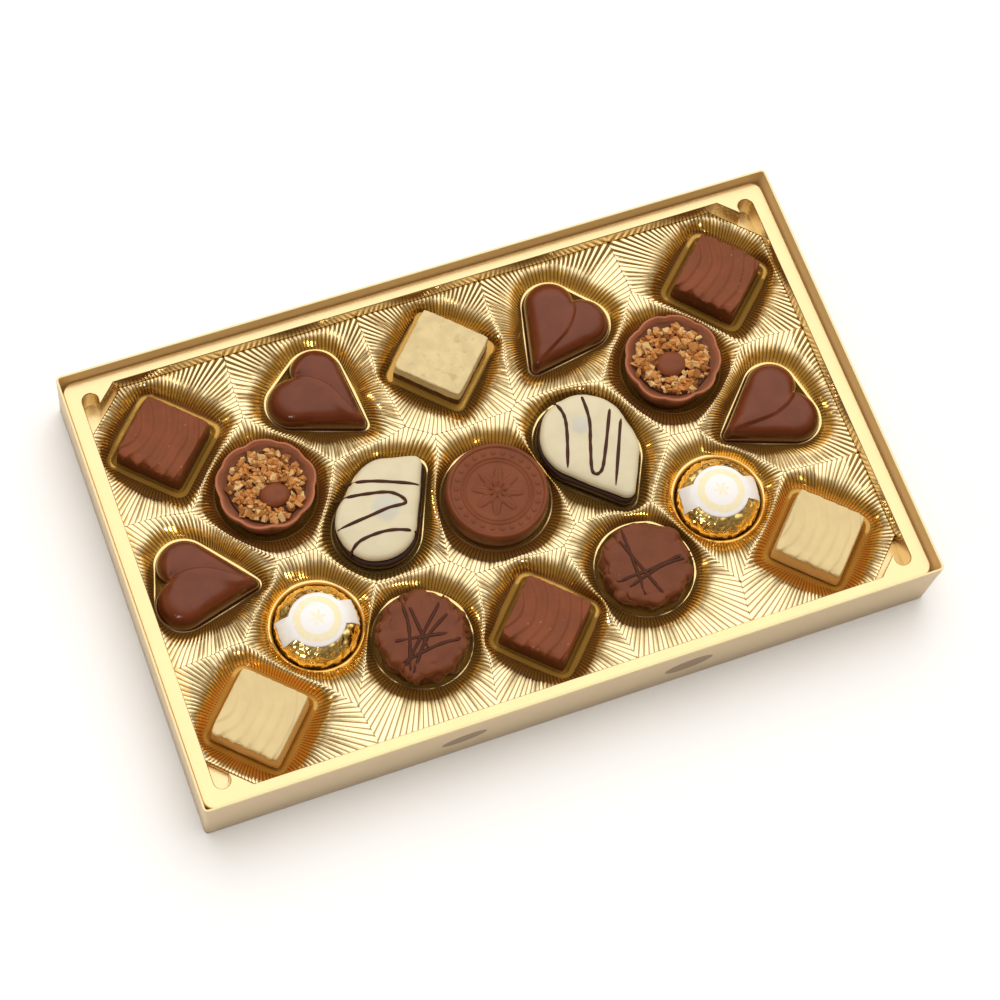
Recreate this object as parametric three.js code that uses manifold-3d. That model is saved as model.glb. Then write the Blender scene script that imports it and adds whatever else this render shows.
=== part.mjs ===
// A shallow gold carton with a thin ribbed tray insert that holds nineteen chocolate pralines.
// Millimetres, +Z up. The origin is under the middle of the carton, with its long side along X.

import * as THREE from 'three';
import { mergeVertices } from 'three/addons/utils/BufferGeometryUtils.js';
import Module from 'manifold-3d';

const wasm = await Module();
wasm.setup();

// Driving dimensions of the packaging
const BOX = { length: 250, width: 154.4, height: 23, wall: 0.8, corner: 1.6, lean: 2.4 };
const TRAY = {
  length: 246.8, width: 151.6, corner: 4, middle: -0.6, sheet: 0.5,
  flange: 18.6, field: 13, pocket: 9.6, halfLength: 118.3, halfWidth: 71.8,
};
// The corner of the tray's opening: a round slot, a pointed tooth beside it, and the field's chamfer.
const CORNER = { slotRadius: 2.7, slotHeight: 67.6, toothInset: 5.3, toothTip: 65.4, chamfer: 58 };
const CUP = {
  floor: 8, lip: 10.5, mouth: 13.4, raisedFloor: 9.9, raisedLip: 11.2,
  deepFloor: 1.6, deepBowl: 4.2, deepLip: 9, back: 1.7,
  sides: { square: 12, layered: 12, round: 14, back: 10 },
};

// Driving dimensions of the pralines
const REST = 8.3;
const SQUARE = { reach: 15.2, corner: 1, top: 17.2, ridges: 6, ridgeDepth: 0.5, sweep: 3.2, turn: -18 };
const LAYERED = {
  reach: 16.3, corner: 0.5, bottom: 10.2, seam: 13.3, gap: 0.02, taper: 0.3, top: 17.1, turn: 0.5,
};
const HEART = {
  lobe: { x: 6.2, y: 8.3, radius: 8.2 }, tip: { y: -13.2, radius: 1.5 }, top: 17.5, crease: 4.6,
};
const NUT_CUP = {
  radius: 16, foot: 2, base: 11.3, lobes: 9, scallop: 0.45, wall: 2.4, floor: 14.5, rim: 17.4,
};
const NUTS = { radius: 11.8, bottom: 14.8, top: 15.8, lift: 0.3, count: 15, size: 1.95 };
const BEAD = { radius: 4.5, bottom: 16.1, height: 2.2 };
const COOKIE = {
  foot: 10.4, shoulder: 12.9, top: 13.6, icing: 13.9, inset: 0.8, edge: 14.9, bend: 16.3, crown: 17.2,
};
const ROUND = { radius: 15.3, inset: 0.6, foot: 11, belly: 14.2, bend: 16.3, top: 17.2, lump: 0.35 };
const MEDAL = {
  radius: 17.2, rim: 16, ring: 11.2, foot: 10.2, face: 16.9, raised: 17.3, petals: 8,
  petal: { middle: 5.4, length: 2.9, width: 1.25, height: 0.55 }, hub: { radius: 1.9, height: 0.7 },
};
const BALL = { radius: 14.3, equator: 9, rise: 8.8, drop: 7, crinkle: 0.3 };
const LABEL = { disc: 9, band: 4.9, half: 12.8, gap: 0.3, paper: 0.3 };
const DRIZZLE = { radius: 0.45, thin: 0.38 };
const ARC_STEPS = 3;

const FULL = 2 * Math.PI;
const degrees = THREE.MathUtils.degToRad;
const group = new THREE.Group();

// Finishes
const finish = (color, roughness, metalness = 0) => ({ color, roughness, metalness });
const FINISH = {
  carton: finish(0xcdb28c, 0.6), tray: finish(0xe1c378, 0.3, 0.8),
  milk: finish(0x87503c, 0.45), ivory: finish(0xe6d091, 0.5), dark: finish(0x3a1a0c, 0.45),
  nuts: finish(0xc8965a, 0.7), icing: finish(0xe1dcc3, 0.45),
  foil: finish(0xd6a43c, 0.25, 1), label: finish(0xece8e2, 0.6),
};

// A seeded draw between 0 and 1, so that every build gives the same pieces.
function draws(seed) {
  let state = seed;
  return () => {
    state = (state * 1664525 + 1013904223) % 4294967296;
    return state / 4294967296;
  };
}

// Six times the volume inside a list of triangles, negative where the faces point inwards.
function signedVolume(position, corners) {
  const [a, b, c] = [new THREE.Vector3(), new THREE.Vector3(), new THREE.Vector3()];
  let sum = 0;
  for (let i = 0; i < corners.length; i += 3) {
    a.fromBufferAttribute(position, corners[i]);
    b.fromBufferAttribute(position, corners[i + 1]);
    c.fromBufferAttribute(position, corners[i + 2]);
    sum += a.dot(b.cross(c));
  }
  return sum;
}

// Only positions, with shared corners merged, collapsed faces dropped and faces outwards.
function closed(geometry) {
  geometry.deleteAttribute('normal');
  geometry.deleteAttribute('uv');
  const merged = mergeVertices(geometry, 1e-4);
  const corners = [];
  for (let i = 0; i < merged.index.count; i += 3) {
    const [a, b, c] = [0, 1, 2].map((step) => merged.index.getX(i + step));
    if (a !== b && b !== c && c !== a) corners.push(a, b, c);
  }
  if (signedVolume(merged.attributes.position, corners) < 0) corners.reverse();
  merged.setIndex(corners);
  return merged;
}

function solid(geometry) {
  const body = closed(geometry);
  const triVerts = Uint32Array.from(body.index.array);
  const vertProperties = Float32Array.from(body.attributes.position.array);
  return new wasm.Manifold(new wasm.Mesh({ numProp: 3, vertProperties, triVerts }));
}

function geometryOf(manifold) {
  const mesh = manifold.getMesh();
  const geometry = new THREE.BufferGeometry();
  geometry.setAttribute('position', new THREE.BufferAttribute(mesh.vertProperties, 3));
  geometry.setIndex(new THREE.BufferAttribute(mesh.triVerts, 1));
  return geometry;
}

const joined = (solids) => solids.reduce((all, next) => all.add(next));

function place(name, look, shape, x = 0, y = 0, turn = 0) {
  const geometry = shape.isBufferGeometry ? closed(shape) : geometryOf(shape);
  const mesh = new THREE.Mesh(geometry, new THREE.MeshStandardMaterial(FINISH[look]));
  mesh.name = name;
  mesh.position.set(x, y, 0);
  mesh.rotation.z = degrees(turn);
  group.add(mesh);
}

// The outline round a set of circles, as a rope would lie: a level may pull the circles in
// towards the middle (spread below 1) and make them larger or smaller (grow).
function roped(circles) {
  return (part, { spread = 1, grow = 0 }) => {
    const side = new THREE.Vector2(Math.cos(part * FULL), Math.sin(part * FULL));
    const reach = ([x, y, radius]) => (x * side.x + y * side.y) * spread + radius;
    const [x, y, radius] = circles.reduce((far, next) => (reach(next) > reach(far) ? next : far));
    return new THREE.Vector2(x * spread, y * spread).addScaledVector(side, radius + grow);
  };
}

// A closed body with one ring of points for each level, all from the same outline.
function stacked(outline, levels, segments, relief = () => 0) {
  const rows = levels.map((level, row) => new THREE.Vector2(1, row));
  const geometry = new THREE.LatheGeometry(rows, segments);
  const position = geometry.attributes.position;
  for (let index = 0; index < position.count; index += 1) {
    const level = levels[index % levels.length];
    const part = (Math.floor(index / levels.length) % segments) / segments;
    const at = level.pole ? new THREE.Vector2() : outline(part, level);
    position.setXYZ(index, at.x, at.y, level.z + relief(at.x, at.y, level));
  }
  return geometry;
}

// How far a point lies inside the rope round a set of circles.
function inside(circles, x, y) {
  const outline = roped(circles);
  let depth = Infinity;
  for (let step = 0; step < 48; step += 1) {
    const angle = (step / 48) * FULL;
    const edge = outline(step / 48, {});
    const gap = (edge.x - x) * Math.cos(angle) + (edge.y - y) * Math.sin(angle);
    depth = Math.min(depth, gap);
  }
  return depth;
}

// A height read from a short list of [depth, height] stops.
function heightAt(stops, depth) {
  const next = stops.findIndex((stop) => stop[0] >= depth);
  if (next <= 0) return stops[next === 0 ? 0 : stops.length - 1][1];
  const [from, to] = [stops[next - 1], stops[next]];
  return THREE.MathUtils.mapLinear(depth, from[0], to[0], from[1], to[1]);
}

function roundedRect(length, width, radius) {
  const [x, y, shape] = [length / 2, width / 2, new THREE.Shape()];
  shape.absarc(x - radius, y - radius, radius, 0, FULL / 4);
  shape.absarc(radius - x, y - radius, radius, FULL / 4, FULL / 2);
  shape.absarc(radius - x, radius - y, radius, FULL / 2, 0.75 * FULL);
  shape.absarc(x - radius, radius - y, radius, 0.75 * FULL, FULL);
  return shape;
}

function slab(shape, low, high) {
  const geometry = new THREE.ExtrudeGeometry(shape, {
    depth: high - low, bevelEnabled: false, curveSegments: ARC_STEPS,
  });
  return solid(geometry.translate(0, 0, low));
}

// Circles that rope round each kind of praline, from its own middle.
const diamond = ({ reach, corner }) => [0, 1, 2, 3].map((quarter) => {
  const angle = (quarter / 4) * FULL;
  return [reach * Math.cos(angle), reach * Math.sin(angle), corner];
});
const heartRope = [
  [HEART.lobe.x, HEART.lobe.y, HEART.lobe.radius], [-HEART.lobe.x, HEART.lobe.y, HEART.lobe.radius],
  [0, HEART.tip.y, HEART.tip.radius],
];
const disc = (radius) => [[0, 0, radius]];
const cookieLeft = [[-3.5, -2.5, 14], [2, 7, 11.5], [13, 12, 3.5]];
const cookieRight = [[-1.5, 3, 15.5], [3, -3, 12], [4.7, -18.8, 3.4]];

// The cup and funnel round a praline, from the floor up to above the field.
const cupLevels = {
  square: [
    { pole: true, z: CUP.floor }, { spread: 1.05, grow: 0.3, z: CUP.floor },
    { spread: 1.22, grow: 0, z: CUP.lip, lip: true }, { spread: 0.64, grow: 13.6, z: CUP.mouth },
    { pole: true, z: CUP.mouth },
  ],
  layered: [
    { pole: true, z: CUP.raisedFloor }, { spread: 1.04, grow: 0.3, z: CUP.raisedFloor },
    { spread: 1.16, grow: 0.5, z: CUP.raisedLip, lip: true },
    { spread: 0.72, grow: 11.6, z: CUP.mouth }, { pole: true, z: CUP.mouth },
  ],
  rounded: [
    { pole: true, z: CUP.floor }, { grow: 0.7, z: CUP.floor },
    { spread: 1.05, grow: 2, z: CUP.lip, lip: true }, { spread: 0.7, grow: 8.3, z: CUP.mouth },
    { pole: true, z: CUP.mouth },
  ],
  ball: [
    { pole: true, z: CUP.deepFloor }, { grow: -4.6, z: CUP.deepFloor },
    { grow: -0.9, z: CUP.deepBowl }, { grow: 1.6, z: CUP.deepLip },
    { grow: 7.4, z: CUP.mouth }, { pole: true, z: CUP.mouth },
  ],
  nutCup: [
    { pole: true, z: CUP.deepFloor }, { grow: -4, z: CUP.deepFloor }, { grow: 0.9, z: CUP.deepLip },
    { grow: 6.2, z: CUP.mouth }, { pole: true, z: CUP.mouth },
  ],
};

// Every place in the tray: the kind of cup, the rope of the praline, its middle and its turn.
const PLACES = {
  milk_square_1: { cup: 'square', rope: diamond(SQUARE), x: -97.8, y: 49, turn: 0.8 },
  milk_square_2: { cup: 'square', rope: diamond(SQUARE), x: 97, y: 48, turn: -2 },
  milk_square_3: { cup: 'square', rope: diamond(SQUARE), x: -1.7, y: -49.3, turn: 1 },
  ivory_square_1: { cup: 'square', rope: diamond(SQUARE), x: -98, y: -50.2, turn: 1 },
  ivory_square_2: { cup: 'square', rope: diamond(SQUARE), x: 93.6, y: -50.2, turn: 1 },
  layered_square: { cup: 'layered', rope: diamond(LAYERED), x: -1.8, y: 48.6, turn: LAYERED.turn },
  heart_1: { cup: 'rounded', rope: heartRope, x: -42.8, y: 46.4, turn: 38 },
  heart_2: { cup: 'rounded', rope: heartRope, x: 37.6, y: 45.6, turn: -47.4 },
  heart_3: { cup: 'rounded', rope: heartRope, x: 92.8, y: -3.4, turn: -76 },
  heart_4: { cup: 'rounded', rope: heartRope, x: -98.6, y: -2.4, turn: 72 },
  nut_cup_1: { cup: 'nutCup', rope: disc(NUT_CUP.radius), x: -71.6, y: 22.5, turn: 0 },
  nut_cup_2: { cup: 'nutCup', rope: disc(NUT_CUP.radius), x: 70.6, y: 23, turn: 25 },
  cookie_1: { cup: 'rounded', rope: cookieLeft, x: -38, y: 1, turn: 0 },
  cookie_2: { cup: 'rounded', rope: cookieRight, x: 34, y: 3, turn: 0 },
  rough_round_1: { cup: 'rounded', rope: disc(ROUND.radius), x: -40.8, y: -41.6, turn: 0 },
  rough_round_2: { cup: 'rounded', rope: disc(ROUND.radius), x: 35.8, y: -41.8, turn: 0 },
  medallion: { cup: 'rounded', rope: disc(MEDAL.radius), x: -1.4, y: -3.2, turn: 0 },
  foil_ball_1: { cup: 'ball', rope: disc(BALL.radius), x: -71, y: -26.4, turn: 0 },
  foil_ball_2: { cup: 'ball', rope: disc(BALL.radius), x: 68, y: -26.4, turn: -8 },
};

const spot = (name) => [PLACES[name].x, PLACES[name].y, PLACES[name].turn];

// The carton is an open tray of card, and one short wall leans in a little towards its foot.
function carton() {
  const outer = slab(roundedRect(BOX.length, BOX.width, BOX.corner), 0, BOX.height);
  const room = roundedRect(BOX.length - 2 * BOX.wall, BOX.width - 2 * BOX.wall, BOX.corner / 2);
  const geometry = geometryOf(outer.subtract(slab(room, BOX.wall, BOX.height + 1)));
  const position = geometry.attributes.position;
  for (let i = 0; i < position.count; i += 1) {
    const low = 1 - position.getZ(i) / BOX.height;
    if (position.getX(i) > 0) position.setX(i, position.getX(i) - BOX.lean * low);
  }
  return geometry;
}

// One corner of the opening, from the short side to the long side; grow widens the cut.
function openingCorner(grow) {
  const side = TRAY.halfLength + grow;
  const radius = CORNER.slotRadius + grow;
  const tip = TRAY.halfLength - CORNER.toothInset - grow;
  const tipHeight = CORNER.toothTip + grow * (1 + Math.SQRT2);
  const top = TRAY.halfWidth + grow;
  const middle = side - radius;
  const points = [[side, CORNER.slotHeight]];
  for (const angle of [45, 90, 135]) {
    const turn = degrees(angle);
    points.push([middle + radius * Math.cos(turn), CORNER.slotHeight + radius * Math.sin(turn)]);
  }
  points.push([tip, CORNER.slotHeight], [tip, tipHeight], [tip - (top - tipHeight), top]);
  return points;
}

function openingShape(grow) {
  const corner = openingCorner(grow);
  const back = [...corner].reverse();
  const points = [
    ...corner, ...back.map(([x, y]) => [-x, y]), ...corner.map(([x, y]) => [-x, -y]),
    ...back.map(([x, y]) => [x, -y]),
  ];
  return new THREE.Shape(points.map(([x, y]) => new THREE.Vector2(x, y)));
}

// The four corner pockets beyond the field's chamfers, down to a lower floor.
function pockets(grow) {
  const sum = TRAY.halfLength + CORNER.chamfer - grow * Math.SQRT2;
  const [right, back] = [TRAY.halfLength + 3, TRAY.halfWidth + 3];
  const wedge = [[right, sum - right], [right, back], [sum - back, back]];
  const wedges = [[1, 1], [-1, 1], [-1, -1], [1, -1]].map(([alongX, alongY]) => {
    const points = wedge.map(([x, y]) => new THREE.Vector2(alongX * x, alongY * y));
    return slab(new THREE.Shape(points), TRAY.pocket - grow, TRAY.flange + 1);
  });
  return joined(wedges).intersect(slab(openingShape(grow), TRAY.pocket - grow, TRAY.flange + 1));
}

// One cup with its funnel. Its back is plainer: fewer sides, no lip, and grown past the front.
function cupSolid({ cup, rope, x, y, turn }, back) {
  const levels = cupLevels[cup].filter((level) => !(back && level.lip)).map((level) => {
    const down = level.z === CUP.mouth || !back ? 0 : TRAY.sheet;
    return { ...level, grow: (level.grow ?? 0) + (back ? CUP.back : 0), z: level.z - down };
  });
  const sides = back ? CUP.sides.back : CUP.sides[cup] ?? CUP.sides.round;
  const geometry = stacked(roped(rope), levels, sides);
  return solid(geometry.rotateZ(degrees(turn)).translate(x - TRAY.middle, y, 0));
}

// The insert is a thin formed sheet: what lies under its top face less what lies under its back.
function tray() {
  const { length, width, corner, flange, sheet, field } = TRAY;
  const hollow = (grow) => joined([
    slab(openingShape(grow), field - grow, flange + 1), pockets(grow),
    ...Object.values(PLACES).map((cell) => cupSolid(cell, grow > 0)),
  ]);
  const plate = roundedRect(length, width, corner);
  const outside = slab(plate, flange - sheet, flange).add(hollow(sheet)).intersect(slab(plate, 0, flange));
  return outside.subtract(hollow(0));
}

// A square praline: a block with swept ridges across its top, cut to tapered sides.
function ridgedSquare(seed) {
  const draw = draws(seed);
  const half = SQUARE.reach + 2;
  const steps = SQUARE.ridges * 2;
  const ridge = (step) => SQUARE.top - (step % 2 ? SQUARE.ridgeDepth * (0.7 + 0.6 * draw()) : 0);
  const line = Array.from({ length: steps + 1 }, (_, step) => (
    new THREE.Vector2(half - (step / steps) * 2 * half, ridge(step))));
  const section = new THREE.Shape([new THREE.Vector2(-half, 0), new THREE.Vector2(half, 0), ...line]);
  const block = new THREE.ExtrudeGeometry(section, { depth: 2 * half, steps: 4, bevelEnabled: false });
  block.translate(0, 0, -half).rotateX(FULL / 4);
  const position = block.attributes.position;
  for (let i = 0; i < position.count; i += 1) {
    const along = position.getY(i) / half;
    position.setX(i, position.getX(i) + SQUARE.sweep * along * along);
  }
  block.rotateZ(degrees(SQUARE.turn));
  const sides = stacked(roped(diamond(SQUARE)), [
    { pole: true, z: REST }, { z: REST }, { spread: 0.93, grow: -0.1, z: SQUARE.top - 1.2 },
    { spread: 0.84, grow: -0.2, z: SQUARE.top + 0.6 }, { pole: true, z: SQUARE.top + 0.6 },
  ], 12);
  return solid(block).intersect(solid(sides));
}

// One layer of the flat square praline.
const squareLayer = (low, high, taper = 0) => stacked(roped(diamond(LAYERED)), [
  { pole: true, z: low }, { z: low }, { grow: -taper, z: high }, { pole: true, z: high },
], 12);

// The heart's outline, from the notch round the left lobe, the tip and the right lobe.
function heartOutline(count) {
  const { lobe, tip } = HEART;
  const span = Math.hypot(lobe.x, lobe.y - tip.y);
  const side = Math.atan2(lobe.y - tip.y, lobe.x) - Math.acos((tip.radius - lobe.radius) / span);
  const notch = Math.PI - Math.acos(lobe.x / lobe.radius);
  const shape = new THREE.Shape();
  shape.absarc(-lobe.x, lobe.y, lobe.radius, Math.PI - notch, Math.PI - side);
  shape.absarc(0, tip.y, tip.radius, -Math.PI - side, side);
  shape.absarc(lobe.x, lobe.y, lobe.radius, side, notch);
  const points = shape.getSpacedPoints(count);
  return (part, { scale }) => points[Math.round(part * count) % count].clone().multiplyScalar(scale);
}

// A heart with a domed top; one lobe folds over the other along a crease from notch to tip.
function heart(fold) {
  const { top, crease, tip, lobe } = HEART;
  const relief = (x, y, level) => {
    const along = (y - tip.y) / (lobe.y - tip.y);
    const over = x < crease * Math.sin(Math.PI * THREE.MathUtils.clamp(along, 0, 1)) ? 0 : -fold;
    return level.z > top - 2 ? over : 0;
  };
  return stacked(heartOutline(24), [
    { pole: true, z: REST }, { scale: 0.92, z: REST }, { scale: 1, z: 10.6 }, { scale: 0.985, z: 14.2 },
    { scale: 0.9, z: 16.5 }, { scale: 0.72, z: 17.3 }, { scale: 0.4, z: top }, { pole: true, z: top },
  ], 24, relief);
}

// A round outline with a few uneven lobes.
function wavy(radius, lobes, depth, seed) {
  const draw = draws(seed);
  const waves = [[lobes, depth], [lobes + 3, depth * 0.5], [2, depth * 0.6]];
  const phases = waves.map(() => draw() * FULL);
  return (part, { scale = 1, grow = 0, wave = 1 }) => {
    const angle = part * FULL;
    const swell = waves.reduce((sum, [count, size], i) => (
      sum + size * Math.cos(count * angle + phases[i])), 0);
    const reach = radius * scale + grow + swell * wave;
    return new THREE.Vector2(reach * Math.cos(angle), reach * Math.sin(angle));
  };
}

// The chocolate cup of the nut praline, with a scalloped rim and a recess.
function nutCup(seed) {
  const { radius, foot, base, lobes, scallop, wall, floor, rim } = NUT_CUP;
  return stacked(wavy(radius, lobes, scallop, seed), [
    { pole: true, z: foot }, { grow: base - radius, wave: 0, z: foot }, { grow: -0.2, z: rim - 1 },
    { grow: -0.6, z: rim }, { grow: -wall, z: rim - 0.1 }, { grow: -wall - 0.7, wave: 0.3, z: floor },
    { pole: true, z: floor },
  ], lobes * 3);
}

// The chopped nuts: a low core with pieces fused on, clear of the bead.
function nutFilling(seed, beadX, beadY) {
  const draw = draws(seed);
  const core = stacked(roped(disc(NUTS.radius)), [
    { pole: true, z: NUTS.bottom }, { z: NUTS.bottom }, { grow: -1.2, z: NUTS.top },
    { pole: true, z: NUTS.top },
  ], 16);
  const pieces = [];
  for (let step = 0; pieces.length < NUTS.count && step < 60; step += 1) {
    const reach = NUTS.radius * 0.9 * Math.sqrt((step + 0.5) / 24);
    const angle = step * 2.4 + 0.4 * draw();
    const size = NUTS.size * (0.75 + 0.45 * draw());
    const [x, y] = [reach * Math.cos(angle), reach * Math.sin(angle)];
    const clear = Math.hypot(x - beadX, y - beadY) > BEAD.radius + size + 0.3;
    if (!clear || reach + size > NUTS.radius + 0.3) continue;
    const piece = new THREE.DodecahedronGeometry(size);
    piece.scale(1, 0.8, 1).rotateX(FULL * draw()).rotateZ(FULL * draw()).scale(1, 1, 0.66);
    pieces.push(solid(piece.translate(x, y, NUTS.top + NUTS.lift)));
  }
  return joined([solid(core), ...pieces]);
}

// The smooth round bead on the nuts.
const bead = () => stacked(roped(disc(BEAD.radius)), [
  { pole: true, z: BEAD.bottom }, { grow: -0.7, z: BEAD.bottom }, { grow: 0, z: BEAD.bottom + 0.7 },
  { grow: -1.2, z: BEAD.bottom + BEAD.height * 0.8 }, { pole: true, z: BEAD.bottom + BEAD.height },
], 12);

const cookieBase = (circles) => stacked(roped(circles), [
  { pole: true, z: REST }, { grow: -1.6, z: REST }, { grow: 0, z: COOKIE.foot },
  { grow: 0, z: COOKIE.shoulder }, { grow: -1.1, z: COOKIE.top }, { pole: true, z: COOKIE.top },
], 20);

// A thread of chocolate along a route of [x, y] points that lies on the surface below it.
function thread(route, radius, surface) {
  const points = route.map(([x, y]) => new THREE.Vector3(x, y, surface(x, y)));
  const path = new THREE.CatmullRomCurve3(points);
  const section = new THREE.Shape(Array.from({ length: 4 }, (_, i) => (
    new THREE.Vector2(radius * Math.cos((i / 4) * FULL), radius * Math.sin((i / 4) * FULL)))));
  const steps = (route.length - 1) * 2;
  return solid(new THREE.ExtrudeGeometry(section, { steps, extrudePath: path, bevelEnabled: false }));
}

// The white icing on a cookie, with threads of dark chocolate fused on.
function icing(circles, shiftX, shiftY, routes) {
  const { edge, bend, crown } = COOKIE;
  const stops = [[0, edge], [1, bend], [3.4, crown - 0.2], [9, crown]];
  const rings = stops.slice(0, 3).map(([depth, z]) => ({ grow: -depth, z }));
  const outline = circles.map(([x, y, radius]) => [
    x + shiftX, y + shiftY, radius - COOKIE.inset,
  ]);
  const cap = stacked(roped(outline), [
    { pole: true, z: COOKIE.icing }, { grow: -0.7, z: COOKIE.icing }, ...rings,
    { pole: true, z: crown },
  ], 20);
  const surface = (x, y) => heightAt(stops, inside(outline, x, y));
  return joined([solid(cap), ...routes.map((route) => thread(route, DRIZZLE.radius, surface))]);
}

// A rough round of nut pieces under chocolate, with thin threads across it.
function roughRound(seed, routes) {
  const { foot, belly, bend, top, lump } = ROUND;
  const radius = ROUND.radius - ROUND.inset;
  const phase = draws(seed + 5)() * FULL;
  const lumps = (x, y, level) => (
    level.lumpy ? lump * Math.sin(x * 0.9 + phase) * Math.sin(y * 1.1 - phase) : 0);
  const body = stacked(wavy(radius, 7, lump, seed), [
    { pole: true, z: REST }, { scale: 0.86, z: REST }, { scale: 1, z: foot },
    { scale: 0.99, z: belly }, { scale: 0.9, z: bend, lumpy: true },
    { scale: 0.62, z: top - 0.25, lumpy: true }, { pole: true, z: top },
  ], 20, lumps);
  const stops = [[0, belly], [1.4, bend], [5.6, top - 0.15], [14, top]];
  const surface = (x, y) => heightAt(stops, inside(disc(radius), x, y));
  return joined([solid(body), ...routes.map((route) => thread(route, DRIZZLE.thin, surface))]);
}

// A coin of chocolate with a raised rim, an inner ring and a plain rosette.
function medallion() {
  const { radius, rim, ring, foot, face, raised, petals, petal, hub } = MEDAL;
  const coin = solid(stacked(roped(disc(0)), [
    { pole: true, z: REST }, { grow: radius - 1.2, z: REST }, { grow: radius, z: foot },
    { grow: radius - 0.3, z: face - 0.9 }, { grow: rim + 0.2, z: raised }, { grow: rim - 0.7, z: raised },
    { grow: rim - 1.1, z: face }, { grow: ring + 0.4, z: face }, { grow: ring, z: raised },
    { grow: ring - 0.6, z: face }, { pole: true, z: face },
  ], 24));
  const leaves = Array.from({ length: petals }, (_, i) => {
    const leaf = new THREE.SphereGeometry(1, 5, 3).scale(petal.length, petal.width, petal.height);
    return solid(leaf.translate(petal.middle, 0, face).rotateZ((i / petals) * FULL));
  });
  const dome = new THREE.SphereGeometry(1, 6, 4).rotateX(FULL / 4);
  dome.scale(hub.radius, hub.radius, hub.height).translate(0, 0, face);
  return joined([coin, ...leaves, solid(dome)]);
}

// The height of the ball's upper half at a distance from its middle.
function ballTop(reach) {
  return BALL.equator + BALL.rise * Math.sqrt(Math.max(0, 1 - (reach / BALL.radius) ** 2));
}

// A squat ball in crinkled foil, smooth under its label.
function foilBall(seed) {
  const draw = draws(seed);
  const ball = closed(new THREE.SphereGeometry(1, 16, 10).rotateX(FULL / 4));
  const position = ball.attributes.position;
  for (let i = 0; i < position.count; i += 1) {
    const unit = new THREE.Vector3().fromBufferAttribute(position, i);
    const dent = unit.z > 0.55 ? 0 : BALL.crinkle * draw();
    const high = unit.z > 0 ? BALL.rise : BALL.drop;
    const reach = BALL.radius - dent;
    position.setXYZ(i, unit.x * reach, unit.y * reach, BALL.equator + unit.z * high);
  }
  return ball;
}

// The paper label: a round patch with a band that runs over the ball to both sides.
function foilLabel() {
  const { disc: patch, band, half, gap, paper } = LABEL;
  const strip = new THREE.BoxGeometry(2 * half, 2, 1, 10, 4, 1);
  const position = strip.attributes.position;
  for (let i = 0; i < position.count; i += 1) {
    const x = position.getX(i);
    const y = position.getY(i) * Math.max(band, Math.sqrt(Math.max(0, patch ** 2 - x ** 2)));
    const lift = position.getZ(i) > 0 ? gap + paper : gap;
    position.setXYZ(i, x, y, ballTop(Math.hypot(x, y)) + lift);
  }
  return strip;
}

// Routes of the chocolate threads, from the middle of their praline.
const THREADS = {
  cookie_1: [
    [[-9.6, 14], [0, 11.4], [11, 7]], [[-14.4, 9.6], [-5, 8.2], [3.6, 6], [7, 1.4], [0, 1], [-16, -0.6]],
    [[-15, -9], [-11, -6.6], [-1.6, -6.2], [6, -8.6]],
  ],
  cookie_2: [
    [[-6.6, 18], [-5.4, 12.4], [-6.6, 6], [-10.4, -4.8]],
    [[2.8, 18], [2, 8], [-1, -1], [-3.6, -9.6], [-1, -10.6], [2.6, -5], [10.8, 11.4]],
    [[13.2, 7.6], [2.4, -15.6]],
  ],
  rough_round_1: [
    [[-3.4, 13], [-3.6, 4], [-8.6, -8]], [[-1.4, 13], [-0.4, -4]], [[10, 9.6], [0, 0], [-9, -9]],
    [[12, 5], [0, -1.6], [-8, -9.4]], [[-13.4, 0.8], [14, -3.6]], [[-6, -8], [4, -5.4], [13.6, -5.6]],
  ],
  rough_round_2: [
    [[-6.6, 11.4], [-3, 0], [1, -12]], [[-4, 11.6], [-4.6, -9]], [[-10, -3.4], [2, -2.8], [14, -0.8]],
    [[-7, -6], [4, -3], [14, -2.6]],
  ],
};

place('carton', 'carton', carton());
place('insert', 'tray', tray(), TRAY.middle);
for (const number of [1, 2, 3]) {
  const name = `milk_square_${number}`;
  place(name, 'milk', ridgedSquare(10 + number), ...spot(name));
}
for (const number of [1, 2]) {
  const name = `ivory_square_${number}`;
  place(name, 'ivory', ridgedSquare(20 + number), ...spot(name));
}
const layeredSpot = spot('layered_square');
place('layered_bottom', 'dark', squareLayer(LAYERED.bottom, LAYERED.seam - LAYERED.gap), ...layeredSpot);
place('layered_top', 'ivory', squareLayer(LAYERED.seam, LAYERED.top, LAYERED.taper), ...layeredSpot);
[0.5, 0.15, 0.15, 0.5].forEach((fold, index) => {
  const name = `heart_${index + 1}`;
  place(name, 'milk', heart(fold), ...spot(name));
});
[[1.6, -4.2], [-1.2, -1.6]].forEach(([beadX, beadY], index) => {
  const name = `nut_cup_${index + 1}`;
  const [x, y, turn] = spot(name);
  place(name, 'milk', nutCup(31 + index), x, y, turn);
  place(`nut_filling_${index + 1}`, 'nuts', nutFilling(41 + index, beadX, beadY), x, y);
  place(`cup_bead_${index + 1}`, 'milk', bead(), x + beadX, y + beadY);
});
[[cookieLeft, 0.2, 0.5], [cookieRight, 0.6, 0.3]].forEach(([circles, shiftX, shiftY], index) => {
  const name = `cookie_${index + 1}`;
  const threads = THREADS[name];
  place(`cookie_base_${index + 1}`, 'dark', cookieBase(circles), ...spot(name));
  place(`cookie_icing_${index + 1}`, 'icing', icing(circles, shiftX, shiftY, threads), ...spot(name));
});
for (const number of [1, 2]) {
  const name = `rough_round_${number}`;
  place(name, 'milk', roughRound(50 + number, THREADS[name]), ...spot(name));
}
place('medallion', 'milk', medallion(), ...spot('medallion'));
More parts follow.
